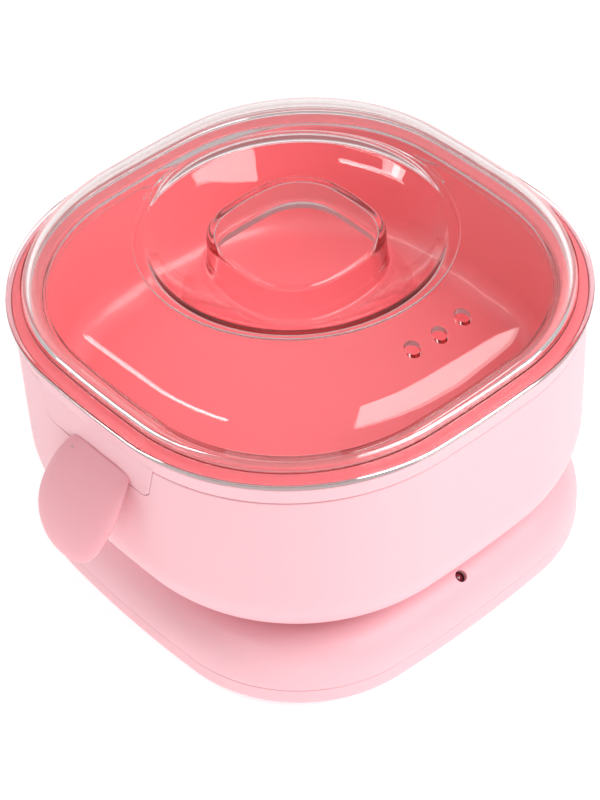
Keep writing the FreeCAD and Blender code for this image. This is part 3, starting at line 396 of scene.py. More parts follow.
def tone_group():
    """Colour that drifts a little to a second tone in soft clouds and fine specks."""
    tree, inside, outside = new_group(
        "Tone drift",
        [("Colour", "NodeSocketColor", (1, 1, 1, 1)), ("Second", "NodeSocketColor", (1, 1, 1, 1)),
         ("Amount", "NodeSocketFloat", 0.5), ("Scale", "NodeSocketFloat", 20.0)],
        [("Colour", "NodeSocketColor")])
    cloud = noise(tree, inside.outputs["Scale"])
    speck = noise(tree, math_node(tree, "MULTIPLY", inside.outputs["Scale"], 40.0), 1.0)
    both = math_node(tree, "ADD", math_node(tree, "MULTIPLY", cloud, 0.75), math_node(tree, "MULTIPLY", speck, 0.25))
    mix = tree.nodes.new("ShaderNodeMix")
    mix.data_type = "RGBA"
    join(tree, math_node(tree, "MULTIPLY", both, inside.outputs["Amount"]), mix.inputs["Factor"])
    join(tree, inside.outputs["Colour"], mix.inputs["A"])
    join(tree, inside.outputs["Second"], mix.inputs["B"])
    join(tree, mix.outputs["Result"], outside.inputs["Colour"])
    return tree


def grain_group():
    """Fine moulded grain as a bumped normal, and a roughness that follows the same grain."""
    tree, inside, outside = new_group(
        "Moulded grain",
        [("Scale", "NodeSocketFloat", 900.0), ("Depth", "NodeSocketFloat", 0.1),
         ("Roughness", "NodeSocketFloat", 0.5), ("Spread", "NodeSocketFloat", 0.08)],
        [("Normal", "NodeSocketVector"), ("Roughness", "NodeSocketFloat")])
    fine = noise(tree, inside.outputs["Scale"], 2.0)
    broad = noise(tree, math_node(tree, "MULTIPLY", inside.outputs["Scale"], 0.04), 2.0)
    bump = tree.nodes.new("ShaderNodeBump")
    bump.inputs["Distance"].default_value = 0.1 * MM
    join(tree, inside.outputs["Depth"], bump.inputs["Strength"])
    join(tree, fine, bump.inputs["Height"])
    join(tree, bump.outputs[0], outside.inputs["Normal"])
    swing = math_node(tree, "SUBTRACT", broad, 0.5)
    spread = math_node(tree, "MULTIPLY", swing, inside.outputs["Spread"])
    join(tree, math_node(tree, "ADD", inside.outputs["Roughness"], spread), outside.inputs["Roughness"])
    return tree


def brushed_group():
    """Fine parallel lines of drawn or brushed metal as a bumped normal and a streaked roughness."""
    tree, inside, outside = new_group(
        "Brushed lines",
        [("Scale", "NodeSocketFloat", 60.0), ("Depth", "NodeSocketFloat", 0.15),
         ("Roughness", "NodeSocketFloat", 0.35), ("Spread", "NodeSocketFloat", 0.2)],
        [("Normal", "NodeSocketVector"), ("Roughness", "NodeSocketFloat")])
    lines = noise(tree, inside.outputs["Scale"], 4.0, (1.0, 30.0, 30.0))
    bump = tree.nodes.new("ShaderNodeBump")
    bump.inputs["Distance"].default_value = 0.05 * MM
    join(tree, inside.outputs["Depth"], bump.inputs["Strength"])
    join(tree, lines, bump.inputs["Height"])
    join(tree, bump.outputs[0], outside.inputs["Normal"])
    swing = math_node(tree, "MULTIPLY", math_node(tree, "SUBTRACT", lines, 0.5), inside.outputs["Spread"])
    join(tree, math_node(tree, "ADD", inside.outputs["Roughness"], swing), outside.inputs["Roughness"])
    return tree


def principled(name, shade, second, amount=0.5, clouds=20.0, surface="Moulded grain", scale=900.0, depth=0.1,
               roughness=0.5, spread=0.08, **plain):
    """Opaque finish: drifting base colour, grain or brushed lines, and plain values on the shader's sockets."""
    item = bpy.data.materials.new(name)
    item.use_nodes = True
    tree = item.node_tree
    shader = tree.nodes["Principled BSDF"]
    tone = tree.nodes.new("ShaderNodeGroup")
    tone.node_tree = bpy.data.node_groups["Tone drift"]
    tone.inputs["Colour"].default_value = (*shade, 1)
    tone.inputs["Second"].default_value = (*second, 1)
    tone.inputs["Amount"].default_value = amount
    tone.inputs["Scale"].default_value = clouds
    join(tree, tone.outputs["Colour"], shader.inputs["Base Color"])
    relief = tree.nodes.new("ShaderNodeGroup")
    relief.node_tree = bpy.data.node_groups[surface]
    relief.inputs["Scale"].default_value = scale
    relief.inputs["Depth"].default_value = depth
    relief.inputs["Roughness"].default_value = roughness
    relief.inputs["Spread"].default_value = spread
    join(tree, relief.outputs["Normal"], shader.inputs["Normal"])
    join(tree, relief.outputs["Roughness"], shader.inputs["Roughness"])
    for label, value in plain.items():
        shader.inputs[label.replace("_", " ")].default_value = value
    return item


def tinted(shade, factor):
    return tuple(min(1.0, part * factor) for part in shade)


def clear_plastic(shade, edge):
    """Clear moulding, tinted pink where it is seen at a grazing angle: partly the long way through it, partly a
    painted reflection of the pink casing and pot.

    Shadow rays pass, so that what is inside stays lit, and rays trapped in its edges leave darker, in a painted dark
    red that stands in for the pot's red reflected inside the lid's walls."""
    item = principled("Clear lid", shade, tinted(shade, 0.99), amount=0.4, clouds=15.0, scale=25.0, depth=0.02,
                      roughness=0.02, spread=0.015, Transmission_Weight=1.0, IOR=1.47)
    tree = item.node_tree
    shader = tree.nodes["Principled BSDF"]
    # Painted reflection: Layer Weight Facing mixes the pink edge colour into the lid at grazing angles, standing
    # partly for the longer way through the plastic.
    weight = tree.nodes.new("ShaderNodeLayerWeight")
    weight.inputs["Blend"].default_value = 0.3
    grazing = tree.nodes.new("ShaderNodeMix")
    grazing.data_type = "RGBA"
    join(tree, weight.outputs["Facing"], grazing.inputs["Factor"])
    join(tree, shader.inputs["Base Color"].links[0].from_socket, grazing.inputs["A"])
    grazing.inputs["B"].default_value = (*edge, 1)
    join(tree, grazing.outputs["Result"], shader.inputs["Base Color"])

    rays = tree.nodes.new("ShaderNodeLightPath")
    trapped = math_node(tree, "GREATER_THAN", rays.outputs["Glossy Depth"], 2.5)
    spent = math_node(tree, "GREATER_THAN", rays.outputs["Ray Depth"], 9.5)
    surface = shader.outputs[0]
    # Painted reflection: rays trapped or spent in the lid leave through a dark red Transparent, which stands in for
    # the pot's red picked up inside the lid's walls. Shadow rays leave through a near-white one.
    for test, passed in ((math_node(tree, "MAXIMUM", trapped, spent), (0.86, 0.34, 0.36, 1)),
                         (rays.outputs["Is Shadow Ray"], (0.90, 0.88, 0.88, 1))):
        open_air = tree.nodes.new("ShaderNodeBsdfTransparent")
        open_air.inputs["Color"].default_value = passed
        mix = tree.nodes.new("ShaderNodeMixShader")
        join(tree, test, mix.inputs[0])
        join(tree, surface, mix.inputs[1])
        join(tree, open_air.outputs[0], mix.inputs[2])
        surface = mix.outputs[0]
    join(tree, surface, tree.nodes["Material Output"].inputs["Surface"])
    return item


METAL = {"surface": "Brushed lines", "Metallic": 1.0}
CAD_FINISHES = {
    "zinc_steel": dict(METAL, shade=(0.62, 0.62, 0.60), second=(0.45, 0.47, 0.50), scale=90.0, roughness=0.35),
    "cast_aluminium": dict(shade=(0.55, 0.55, 0.56), second=(0.40, 0.40, 0.42), Metallic=1.0, scale=500.0,
                           depth=0.35, roughness=0.5, spread=0.2),
    "well_aluminium": dict(METAL, shade=(0.74, 0.74, 0.75), second=(0.60, 0.61, 0.63), roughness=0.3),
    "element_steel": dict(METAL, shade=(0.20, 0.18, 0.17), second=(0.33, 0.27, 0.22), amount=0.8, roughness=0.45),
    "shield_steel": dict(METAL, shade=(0.60, 0.61, 0.62), second=(0.45, 0.46, 0.48), amount=0.8, clouds=90.0,
                         roughness=0.4),
    "glass_felt": dict(shade=(0.80, 0.78, 0.70), second=(0.62, 0.58, 0.48), amount=0.8, clouds=60.0, scale=700.0,
                       depth=0.9, roughness=0.95, Sheen_Weight=0.3),
    "thermostat_black": dict(shade=(0.02, 0.02, 0.02), second=(0.05, 0.045, 0.04), scale=600.0, depth=0.2,
                             roughness=0.5),
    "fuse_white": dict(shade=(0.78, 0.74, 0.66), second=(0.60, 0.56, 0.50), roughness=0.25, Coat_Weight=0.4),
    "board_green": dict(shade=(0.01, 0.10, 0.035), second=(0.03, 0.16, 0.05), amount=0.9, clouds=250.0, depth=0.15,
                        roughness=0.35, Coat_Weight=0.3),
    "component_black": dict(shade=(0.015, 0.015, 0.018), second=(0.05, 0.05, 0.06), scale=700.0, depth=0.2,
                            roughness=0.42),
    "terminal_blue": dict(shade=(0.02, 0.10, 0.28), second=(0.03, 0.14, 0.33), roughness=0.35),
    "inlet_black": dict(shade=(0.012, 0.012, 0.012), second=(0.03, 0.03, 0.03), scale=800.0, depth=0.25,
                        roughness=0.45),
    "pin_brass": dict(METAL, shade=(0.62, 0.47, 0.22), second=(0.48, 0.34, 0.14), roughness=0.28),
    "wire_silicone": dict(shade=(0.75, 0.72, 0.68), second=(0.60, 0.56, 0.50), scale=600.0, depth=0.15,
                          roughness=0.55),
    "foot_rubber": dict(shade=(0.42, 0.40, 0.40), second=(0.30, 0.29, 0.29), amount=0.7, scale=500.0, depth=0.5,
                        roughness=0.85),
}


class WARMER_OT_finishes(bpy.types.Operator):
    """Make every finish, and give the frame's own nodes theirs"""

    bl_idname = "warmer.finishes"
    bl_label = "Finishes"

    def execute(self, context):
        colours = context.scene.warmer_colours
        tone_group()
        grain_group()
        brushed_group()
        principled("Pink plastic", colours.shell, tinted(colours.shell, 0.93), amount=0.5, clouds=12.0, depth=0.12,
                   roughness=0.42, spread=0.06, Subsurface_Weight=0.12, Subsurface_Scale=0.004,
                   Subsurface_Radius=(1.0, 0.4, 0.35))
        principled("Handle plastic", colours.handle, tinted(colours.handle, 0.92), amount=0.5, clouds=12.0,
                   depth=0.12, roughness=0.4, spread=0.06, Subsurface_Weight=0.12, Subsurface_Scale=0.004,
                   Subsurface_Radius=(1.0, 0.4, 0.35))
        principled("Pot coating", colours.pot, tinted(colours.pot, 0.88), amount=0.6, clouds=25.0, scale=1400.0,
                   depth=0.15, roughness=0.32, spread=0.1, Coat_Weight=0.25, Coat_Roughness=0.15)
        principled("Indicator lens", colours.indicator, tinted(colours.indicator, 1.6), scale=1500.0, depth=0.05,
                   roughness=0.12, spread=0.03, Coat_Weight=0.6, Coat_Roughness=0.05)
        clear_plastic(colours.lid, colours.lid_edge_painted_tint)
        for slot, values in CAD_FINISHES.items():
            principled(slot.replace("_", " ").capitalize(), **values)
        record = frame["record"]
        for part in record["subparts"]:
            slot = part["material_slot"]
            if slot in CAD_FINISHES:
                mesh = frame["nodes"][part["node"]].data
                mesh.materials.clear()
                mesh.materials.append(bpy.data.materials[slot.replace("_", " ").capitalize()])
        return {"FINISHED"}


# ---------------------------------------------------------------- base


def inlet_opening():
    """Window for the mains inlet, through the rear wall of both base shells."""
    low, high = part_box("power_inlet")
    slack = 0.2 * MM
    return bar((low[0] - slack, low[1], low[2] - slack), (high[0] + slack, 0.09, high[2] + slack), 0.6 * MM)


def indicator_axis():
    """Middle of the indicator's outer end and the direction that its axis points out."""
    low, high = (np.array(corner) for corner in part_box("indicator_led"))
    radius = high[0]
    outer = np.array([0, low[1] + radius, high[2] - radius])
    inner = np.array([0, high[1] - radius, low[2] + radius])
    axis = outer - inner
    return outer, axis / np.linalg.norm(axis)


class WARMER_OT_base(bpy.types.Operator):
    """Build the base: tray, cover with its broad shoulder, rubber feet and indicator"""

    bl_idname = "warmer.base"
    bl_label = "Base"

    def execute(self, context):
        sizes = context.scene.warmer_sizes
        shell = bpy.data.materials["Pink plastic"]
        wall = sizes.shell_wall
        family = outline("base")

        edge = 0.3 * MM
        sink = -0.6 * sizes.base_half
        floor = BASE_LOW + wall
        tray = rows_of(rounded([
            (sink, BASE_LOW, 0), (0, BASE_LOW, sizes.base_toe), (0, sizes.base_seam, edge),
            (-wall, sizes.base_seam, edge), (-wall, floor, 1.2 * MM), (sink, floor, 0),
        ]), 1)
        tray = np.concatenate([[(0, 0, BASE_LOW)], tray, [(0, 0, floor)]])
        bottom = piece("base_tray", [grid_mesh(rings(tray, family))], "warmer", ["base_bottom"], shell)
        low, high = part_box("rubber_feet")
        foot = high[0] - sizes.foot_recess
        screw_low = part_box("base_screws")[0]
        screw_x, screw_y = -screw_low[0] - sizes.screw_head, -screw_low[1] - sizes.screw_head
        corners = [(1, 1), (-1, 1), (-1, -1), (1, -1)]
        below, sink_top = BASE_LOW - 1 * MM, BASE_LOW + 3.5 * MM
        recesses = [rod(sizes.foot_recess, below, high[2], (x * foot, y * foot, 0)) for x, y in corners]
        sinks = [rod(sizes.screw_sink, below, sink_top, (x * screw_x, y * screw_y, 0)) for x, y in corners]
        drill(bottom, recesses + sinks + [inlet_opening()])
        feet = [rod(sizes.foot_radius, low[2], high[2] - 0.05 * MM, (x * foot, y * foot, 0), edge=0.5 * MM)
                for x, y in corners]
        piece("feet", feet, "warmer", ["rubber_feet"], bpy.data.materials["Foot rubber"])

        seam = sizes.base_seam + 0.2 * MM
        edge = 0.15 * MM
        under = BASE_TOP - wall
        centre = sizes.base_half * 0.35
        cover = rows_of(rounded([
            (-wall, seam, edge), (0, seam, edge), (0, BASE_TOP, sizes.base_round), (-centre, BASE_TOP, 0),
            (-centre, under, 0), (-wall, under, sizes.base_round - wall),
        ], closed=True, steps=14), 1)
        top = piece("base_cover", [grid_mesh(rings(cover, family), ring=True)], "warmer",
                    ["base_top"], shell)
        place, axis = indicator_axis()
        drill(top, [rod(sizes.lamp_hole, -4 * MM, 8 * MM, place, axis), inlet_opening()])
        lens = rounded([(0, -6 * MM, 0), (sizes.lamp_radius, -6 * MM, 0),
                        (sizes.lamp_radius, 0.6 * MM, 1.1 * MM), (0, 1.2 * MM, 0)])
        piece("indicator_lens", [turned(lens, place, axis)], "warmer", ["indicator_led"],
              bpy.data.materials["Indicator lens"])
        return {"FINISHED"}


# ---------------------------------------------------------------- bowl and well


def tab_outline(grow):
    """Seen from the handle's side, the tab's corners of (y, z, radius): slanted edges and rounded lower corners."""
    sizes = bpy.context.scene.warmer_sizes
    foot = sizes.tab_half + grow
    top = sizes.tab_half + sizes.tab_spread + grow
    high = BOWL_TOP + 2 * MM
    low = TAB_LOW + sizes.tab_rise - grow
    corner = sizes.tab_corner + grow
    return [(-top, high, 0), (-foot, low, corner), (foot, low, corner), (top, high, 0)]


def tab_shell(grow, outer, inner, edge):
    """Closed slab in the tab's outline that follows the bowl's bowed wall, from an outer to an inner inset.

    Each ring is the tab's outline pulled towards its middle, and the wall's x at each y comes from the bowed
    side: its radius less the inset, on a circle about a centre behind the axis."""
    sizes = bpy.context.scene.warmer_sizes
    loop = rounded(tab_outline(grow), closed=True, steps=8)
    middle = np.array([0, (TAB_LOW + BOWL_TOP) / 2])
    spread = loop - middle
    size = np.linalg.norm(spread, axis=1, keepdims=True)
    profile = rounded([(-size.min(), outer, 0), (0, outer, edge), (0, inner, edge), (-size.min(), inner, 0)])
    rows = []
    for pull, inset in profile:
        ring = middle + spread * np.maximum(1 + pull / size, 0.0)
        reach = sizes.rim_side - inset
        x = -(np.sqrt(reach ** 2 - ring[:, 0] ** 2) - sizes.rim_side + sizes.rim_half)
        rows.append(np.column_stack([x, ring]))
    grid = np.array(rows)
    poles = grid.mean(axis=1, keepdims=True).repeat(len(loop), axis=1)
    return grid_mesh(np.concatenate([poles[:1], grid, poles[-1:]]))


class WARMER_OT_bowl(bpy.types.Operator):
    """Build the outer bowl with the tab's notch, and the heated well inside it"""

    bl_idname = "warmer.bowl"
    bl_label = "Outer bowl and well"

    def execute(self, context):
        sizes = context.scene.warmer_sizes
        family = outline("rim")
        out = -sizes.bowl_inset
        wall = sizes.shell_wall
        thick = out - wall - sizes.bowl_thick
        ledge = WELL_TOP - sizes.well_wall
        floor = BOWL_LOW + wall
        hub = -sizes.rim_half * 0.5
        edge = 0.5 * MM
        bowl = rows_of(rounded([
            (hub, BOWL_LOW, 0), (out, BOWL_LOW, sizes.bowl_round), (out, BOWL_TOP, edge),
            (out - wall, BOWL_TOP, edge), (out - wall, ledge, 0), (thick, ledge, 0),
            (thick, floor, sizes.bowl_round + thick - out), (hub, floor, 0),
        ], closed=True, steps=16), 1)
        shell = bpy.data.materials["Pink plastic"]
        item = piece("outer_bowl", [grid_mesh(rings(bowl, family), ring=True)], "warmer",
                     ["housing_bowl"], shell)
        drill(item, [tab_shell(sizes.notch_gap, -4 * MM, 9 * MM, 0.1 * MM)])

        neck_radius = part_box("neck_collar")[1][0]
        collar = [rod(neck_radius, BASE_TOP, BOWL_LOW, (0, 0, 0))]
        piece("neck", collar, "warmer", ["neck_collar"], shell)

        sheet = sizes.well_wall
        inner = -sizes.pot_inset + sizes.well_gap
        outer = inner + sheet
        rim = -(sizes.bowl_inset + wall + 0.3 * MM)
        hub = -sizes.rim_half * 0.6
        well = rows_of(rounded([
            (hub, POT_LOW - sheet, 0), (outer, POT_LOW - sheet, 10 * MM), (outer, WELL_TOP - sheet, 0.4 * MM),
            (rim, WELL_TOP - sheet, 0.3 * MM), (rim, WELL_TOP, 0.3 * MM), (inner, WELL_TOP, 0.8 * MM),
            (inner, POT_LOW, 8.8 * MM), (hub, POT_LOW, 0),
        ]), 1)
        well = np.concatenate([[(0, 0, POT_LOW - sheet)], well, [(0, 0, POT_LOW)]])
        stud_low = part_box("heater_well")[0][2]
        stud_radius = 2 * MM
        stud_reach = 25 * MM * math.sqrt(0.5)
        studs = [rod(stud_radius, stud_low, POT_LOW - 0.5 * sheet, (x * stud_reach, y * stud_reach, 0), edge=0.4 * MM)
                 for x in (1, -1) for y in (1, -1)]
        piece("well", [grid_mesh(rings(well, family))] + studs, "warmer", ["heater_well"],
              bpy.data.materials["Well aluminium"])
        return {"FINISHED"}


# ---------------------------------------------------------------- lift-out pot


class WARMER_OT_pot(bpy.types.Operator):
    """Build the lift-out pot and its ring with the handle's tab"""

    bl_idname = "warmer.pot"
    bl_label = "Pot and ring"

    def execute(self, context):
        sizes = context.scene.warmer_sizes
        family = outline("rim")
        sheet = sizes.pot_sheet
        wall = -sizes.pot_inset
        lip = -1.9 * MM
        hook = -4.6 * MM
        hub = -sizes.rim_half * 0.6
        pot = rows_of(rounded([
            (hub, POT_LOW, 0), (wall, POT_LOW, sizes.pot_round + sheet), (wall, POT_TOP - sheet, 0.4 * MM),
            (lip, POT_TOP - sheet, 0.5 * MM), (lip, POT_TOP, 0.5 * MM), (wall - sheet, POT_TOP, 1.0 * MM),
            (wall - sheet, POT_LOW + sheet, sizes.pot_round), (hub, POT_LOW + sheet, 0),
        ], steps=10), 1)
        pot = np.concatenate([[(0, 0, POT_LOW)], pot, [(0, 0, POT_LOW + sheet)]])
        piece("wax_pot", [grid_mesh(rings(pot, family))], "pot", ["inner_pot"],
              bpy.data.materials["Pot coating"])

        seam = BOWL_TOP + 0.3 * MM
        out = -sizes.bowl_inset
        seat = POT_TOP - sheet
        skirt = seam - 3.2 * MM
        clear, inner, edge = lip + 0.25 * MM, wall + 0.6 * MM, 0.3 * MM
        band = rows_of(rounded([
            (out, seam, 0.5 * MM), (-sizes.ring_flare, LID_SEAT, 0.6 * MM), (clear, LID_SEAT, edge), (clear, seat, 0),
            (inner, seat, edge), (inner, skirt, edge), (hook, skirt, edge), (hook, seam, 0),
        ], closed=True), 1)
        tab = tab_shell(0, -out, -out + sizes.shell_wall, 0.4 * MM)
        piece("ring_band", [grid_mesh(rings(band, family), ring=True), tab], "pot", ["pot_ring"],
              bpy.data.materials["Pink plastic"])
        return {"FINISHED"}


def bent_oval(outer, thick, half, root, tip, root_share, fullness):
    """Closed bent shell of the handle, between a root angle and a tip angle of its bend, in degrees.

    Along the bend the half width is an oval: it grows from root_share of the full width at the root to the full
    width and closes at the tip, and the thickness grows from half its full size at the root. Across the bend each
    section is a superellipse, |y / width| ** fullness + |depth / thickness| ** 2 = 1, so the outer face is crowned
    and its edges are round. The handle leans a little to the front towards its root."""
    sizes = bpy.context.scene.warmer_sizes
    bend_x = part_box("handle_grip")[0][0] + sizes.grip_radius
    lead = math.acos(root_share)
    phase = np.linspace(-lead, math.pi / 2, 57)
    along = (np.sin(phase) + math.sin(lead)) / (1 + math.sin(lead))
    width = half * np.cos(phase).clip(0, 1) ** 0.8
    swell = 0.5 + 0.5 * np.sin(np.clip(along / 0.45, 0, 1) * math.pi / 2) ** 2
    depth = thick / 2 * swell * np.cos(phase.clip(0)).clip(0, 1) ** 0.6
    around = np.linspace(0, 2 * math.pi, 96, endpoint=False)
    across = np.sign(np.cos(around)) * np.abs(np.cos(around)) ** (2 / fullness)
    rise = np.sin(around)
    angle = np.radians(root + (tip - root) * along)
    radius = outer - thick / 2 * swell[:, None] + depth[:, None] * rise
    x = bend_x - radius * np.cos(angle)[:, None]
    z = sizes.grip_height + radius * np.sin(angle)[:, None]
    y = width[:, None] * across - (sizes.grip_lean * (1 - along))[:, None]
    grid = np.stack([x, y, z], axis=2)
    pole = grid[:1].mean(axis=1, keepdims=True).repeat(len(around), axis=1)
    return grid_mesh(np.concatenate([pole, grid]))


class WARMER_OT_handle(bpy.types.Operator):
    """Build the handle: a crowned outer shell and its back cover"""

    bl_idname = "warmer.handle"
    bl_label = "Handle"

    def execute(self, context):
        sizes = context.scene.warmer_sizes
        finish = bpy.data.materials["Handle plastic"]
        grip = bent_oval(sizes.grip_radius, sizes.grip_thick, sizes.grip_half, root=56, tip=0,
                         root_share=0.74, fullness=2.7)
        piece("handle_cover", [grip], "pot", ["handle_grip"], finish)
        back_radius = sizes.grip_radius - sizes.grip_thick + sizes.grip_back / 2
        back = bent_oval(back_radius, sizes.grip_back, sizes.grip_half - 3.5 * MM, root=46, tip=4,
                         root_share=0.8, fullness=3.0)
        piece("handle_inside", [back], "pot", ["handle_back"], finish)
        return {"FINISHED"}


# ---------------------------------------------------------------- lid


LAND_STEP = 0.6 * MM
TURN_ROWS = 7
BALL_ROWS = 20
DOME_ROWS = 24
VENT_ANGLES = [math.radians(step * 9.3 - 90) for step in (-1, 0, 1)]


def dome(wall, low):
    """Rows of the lid's dome: a quarter ellipse in height, while the outline blends from the dish's land,
    a circle, to the lid's rounded square."""
    sizes = bpy.context.scene.warmer_sizes
    angle = np.linspace(math.pi / 2, 0, DOME_ROWS)
    part, rise = np.cos(angle), np.sin(angle)
    land = sizes.dish_radius + sizes.dish_land + LAND_STEP + wall
    grow = (1 - part) * land - part * (sizes.lid_step + wall)
    level = low + (LID_TOP - sizes.bead - wall - low) * rise
    return np.column_stack([part, np.zeros(DOME_ROWS), grow, level])


def dish(wall, families):
    """Grid from the knob's middle over its edge, down its wall, up the dish's ball and over its edge to the land.

    On the ball a point's height is the ball's middle less sqrt(ball radius ** 2 - distance from the axis ** 2),
    while the outline blends from the knob's rounded square to a circle. A small fillet joins the knob's wall."""
    sizes = bpy.context.scene.warmer_sizes
    top = LID_TOP - wall
    ball = sizes.dish_ball + wall
    middle = LID_TOP + math.sqrt(sizes.dish_ball ** 2 - sizes.dish_radius ** 2)
    brim = math.sqrt(ball ** 2 - (middle - top) ** 2)
    crown = rounded([(-sizes.knob_half * 0.5, top, 0), (-wall, top, sizes.knob_round - wall / 2),
                     (-wall + sizes.knob_draft * 0.6, top - 9 * MM, 0)])
    crown = np.concatenate([[(0, 0, 0, top)], rows_of(crown, 0, 1)])

    turn = np.linspace(0, math.pi / 2, TURN_ROWS)
    toe = 1.4 * MM + wall
    foot = np.column_stack([np.zeros(TURN_ROWS), np.ones(TURN_ROWS),
                            -wall + sizes.knob_draft + toe * (1 - np.cos(turn)), toe * (1 - np.sin(turn))])
    inner = brim - 4 * MM
    share = np.linspace(0, 1, BALL_ROWS + 1)[1:]
    flat = np.zeros(BALL_ROWS)
    bowl = np.column_stack([flat, 1 - share, foot[-1, 2] * (1 - share) + inner * share, flat])
    floor = rings(np.concatenate([foot, bowl]), *families)
    floor[:, :, 2] += middle - np.sqrt(ball ** 2 - (floor[:, :, :2] ** 2).sum(axis=2))

    land = sizes.dish_radius + sizes.dish_land
    outer = [(land + wall, top - sizes.bead, 0)]
    if wall == 0:
        outer = [(land, top, LAND_STEP), (land, top - sizes.bead, 0.1 * MM), (land + LAND_STEP, top - sizes.bead, 0)]
    edge = rounded([(inner, middle - math.sqrt(ball ** 2 - inner ** 2), 0), (brim, top, sizes.dish_edge - wall),
                    *outer], steps=8)
    return np.concatenate([rings(crown, *families), floor, rings(rows_of(edge[1:-1], 0, 0), *families)])


class WARMER_OT_lid(bpy.types.Operator):
    """Build the clear lid: flange, locating rib, dome, round dish, hollow knob and steam vents"""

    bl_idname = "warmer.lid"
    bl_label = "Clear lid"

    def execute(self, context):
        sizes = context.scene.warmer_sizes
        wall = sizes.lid_wall
        deck = LID_SEAT + sizes.lid_flange
        step = sizes.lid_step
        rib, rib_inside, rib_low = -sizes.rib_inset, -sizes.rib_inset - sizes.rib_wall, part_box("lid")[0][2]
        ceiling, start = deck - 0.5 * MM, deck + 3 * MM
        flange = rounded([
            (-step, start, 0), (-step, deck, 0.8 * MM), (0, deck, 0.9 * MM), (0, LID_SEAT, 0.6 * MM),
            (rib, LID_SEAT, 0.3 * MM), (rib, rib_low, 0.5 * MM), (rib_inside, rib_low, 0.5 * MM),
            (rib_inside, ceiling, 0.3 * MM), (-step - wall, ceiling, 0.5 * MM), (-step - wall, start, 0),
        ])
        inside = dome(wall, deck)[::-1]
        families = outline("rim"), outline("knob")
        outer = rings(np.concatenate([dome(0.0, deck)[:-1], rows_of(flange[1:-1], 1, 0), inside[1:]]), *families)
        grid = np.concatenate([dish(0.0, families), outer, dish(wall, families)[::-1]])
        item = piece("clear_lid", [grid_mesh(grid)], "lid", ["lid"], bpy.data.materials["Clear lid"])
        vents = []
        for angle in VENT_ANGLES:
            place = (sizes.vent_circle * math.cos(angle), sizes.vent_circle * math.sin(angle), 0)
            vents.append(rod(sizes.vent_radius, LID_TOP - 9 * MM, LID_TOP + 3 * MM, place))
        drill(item, vents)
        return {"FINISHED"}


# ---------------------------------------------------------------- stage


LAMP_DISTANCE = 1.1
LAMPS = {
    "Front softbox": dict(start=(0.0, -0.50, 0.86), end=(0.60, -0.66, 0.48), breadth=0.5, power=6.1),
    "Low fill": dict(start=(-0.95, -0.25, 0.08), end=(-0.35, -0.90, 0.08), breadth=0.2, power=1.2),
    "Side strip": dict(start=(-0.52, 0.65, 0.56), end=(-0.50, 0.02, 0.87), breadth=0.05, power=1.4),
}
WORLD_STRENGTH = 0.53
FLOOR_GLOW = 0.41
FLOOR_REACH = 6.0
VIEW_AZIMUTH, VIEW_ELEVATION, VIEW_ROLL = (math.radians(angle) for angle in (-39.46, 43.14, -3.25))
VIEW_DISTANCE = 739.8 * MM
VIEW_TARGET = Vector((0, 0, 99.8 * MM))
VIEW_ASIDE, VIEW_DOWN = 1.73 * MM, 37.4 * MM
LENS = 106.9


def softbox(name, start, end, breadth, power):
    """Rectangular area lamp that faces the lid, with its two ends in two directions seen from there."""
    target = Vector((0, 0, LID_SEAT))
    start, end = Vector(start).normalized() * LAMP_DISTANCE, Vector(end).normalized() * LAMP_DISTANCE
    lamp = bpy.data.lights.new(name, "AREA")
    lamp.shape = "RECTANGLE"
    lamp.size, lamp.size_y = (end - start).length, breadth
    lamp.energy = power
    item = bpy.data.objects.new(name, lamp)
    bpy.context.scene.collection.objects.link(item)
    along = (end - start).normalized()
    back = (start + end).normalized()
    turn = Matrix((along, back.cross(along), back)).transposed().to_4x4()
    item.matrix_world = Matrix.Translation(target + (start + end) / 2) @ turn


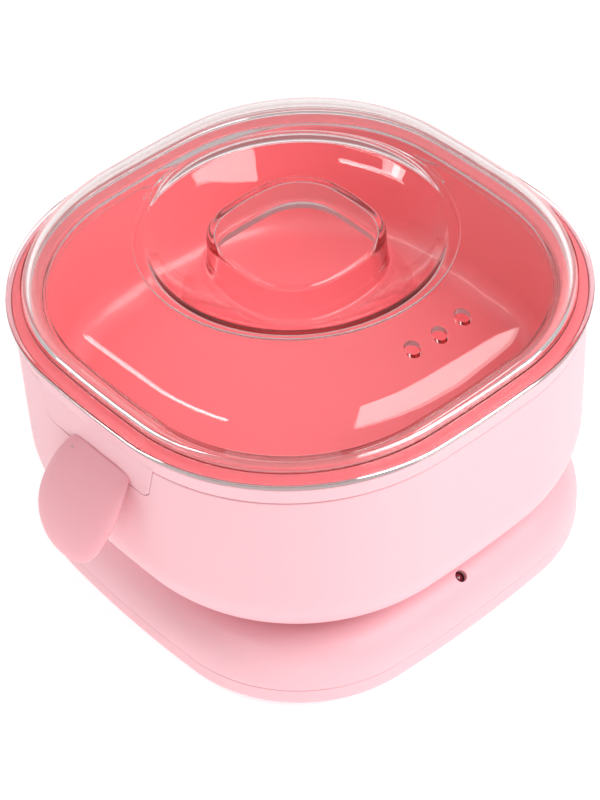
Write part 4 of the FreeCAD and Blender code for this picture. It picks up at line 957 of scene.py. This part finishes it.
class WARMER_OT_stage(bpy.types.Operator):
    """Set up the pale floor, the soft studio light and the camera"""

    bl_idname = "warmer.stage"
    bl_label = "Stage"

    def execute(self, context):
        scene = context.scene
        floor = bpy.data.meshes.new("studio_floor")
        floor.from_pydata([(x * FLOOR_REACH, y * FLOOR_REACH, 0) for x, y in ((-1, -1), (1, -1), (1, 1), (-1, 1))],
                          [], [(0, 1, 2, 3)])
        floor.materials.append(principled("Studio floor", scene.warmer_colours.floor,
                                          tinted(scene.warmer_colours.floor, 0.98), amount=0.4, clouds=3.0,
                                          scale=300.0, depth=0.05, roughness=0.9, spread=0.02))
        glow = floor.materials[0].node_tree.nodes["Principled BSDF"]
        glow.inputs["Emission Color"].default_value = (1, 1, 1, 1)
        glow.inputs["Emission Strength"].default_value = FLOOR_GLOW
        item = bpy.data.objects.new("studio_floor", floor)
        scene.collection.objects.link(item)

        world = bpy.data.worlds.new("Studio")
        world.use_nodes = True
        world.node_tree.nodes["Background"].inputs["Color"].default_value = (1.0, 0.99, 0.99, 1)
        world.node_tree.nodes["Background"].inputs["Strength"].default_value = WORLD_STRENGTH
        scene.world = world
        for name, values in LAMPS.items():
            softbox(name, **values)

        level = Vector((math.cos(VIEW_AZIMUTH), math.sin(VIEW_AZIMUTH), 0))
        back = Vector((level.y, -level.x, 0)) * math.cos(VIEW_ELEVATION) + Vector((0, 0, math.sin(VIEW_ELEVATION)))
        upright = back.cross(level)
        right = level * math.cos(VIEW_ROLL) + upright * math.sin(VIEW_ROLL)
        up = back.cross(right)
        camera = bpy.data.cameras.new("Camera")
        camera.lens = LENS
        camera.clip_end = 20
        holder = bpy.data.objects.new("Camera", camera)
        place = VIEW_TARGET - level * VIEW_ASIDE - upright * VIEW_DOWN + back * VIEW_DISTANCE
        holder.matrix_world = Matrix.Translation(place) @ Matrix((right, up, back)).transposed().to_4x4()
        scene.collection.objects.link(holder)
        scene.camera = holder
        scene.view_settings.view_transform = "Standard"
        return {"FINISHED"}


# ---------------------------------------------------------------- panel and registration


class WARMER_PT_panel(bpy.types.Panel):
    """Lists the steps that build the warmer"""

    bl_idname = "WARMER_PT_panel"
    bl_label = "Wax warmer"
    bl_space_type = "VIEW_3D"
    bl_region_type = "UI"
    bl_category = "Warmer"

    def draw(self, context):
        for step in STEPS:
            self.layout.operator(step.bl_idname)
        for group in (context.scene.warmer_sizes, context.scene.warmer_colours):
            box = self.layout.box()
            for name in group.__annotations__:
                box.prop(group, name)


STEPS = (WARMER_OT_finishes, WARMER_OT_base, WARMER_OT_bowl, WARMER_OT_pot, WARMER_OT_handle, WARMER_OT_lid,
         WARMER_OT_stage)
CLASSES = (WarmerSizes, WarmerColours, *STEPS, WARMER_PT_panel)


def register():
    for item in CLASSES:
        bpy.utils.register_class(item)
    bpy.types.Scene.warmer_sizes = PointerProperty(type=WarmerSizes)
    bpy.types.Scene.warmer_colours = PointerProperty(type=WarmerColours)


def unregister():
    del bpy.types.Scene.warmer_colours
    del bpy.types.Scene.warmer_sizes
    for item in reversed(CLASSES):
        bpy.utils.unregister_class(item)


def main():
    register()
    for step in STEPS:
        group, name = step.bl_idname.split(".")
        getattr(getattr(bpy.ops, group), name)()


if __name__ == "__main__":
    main()
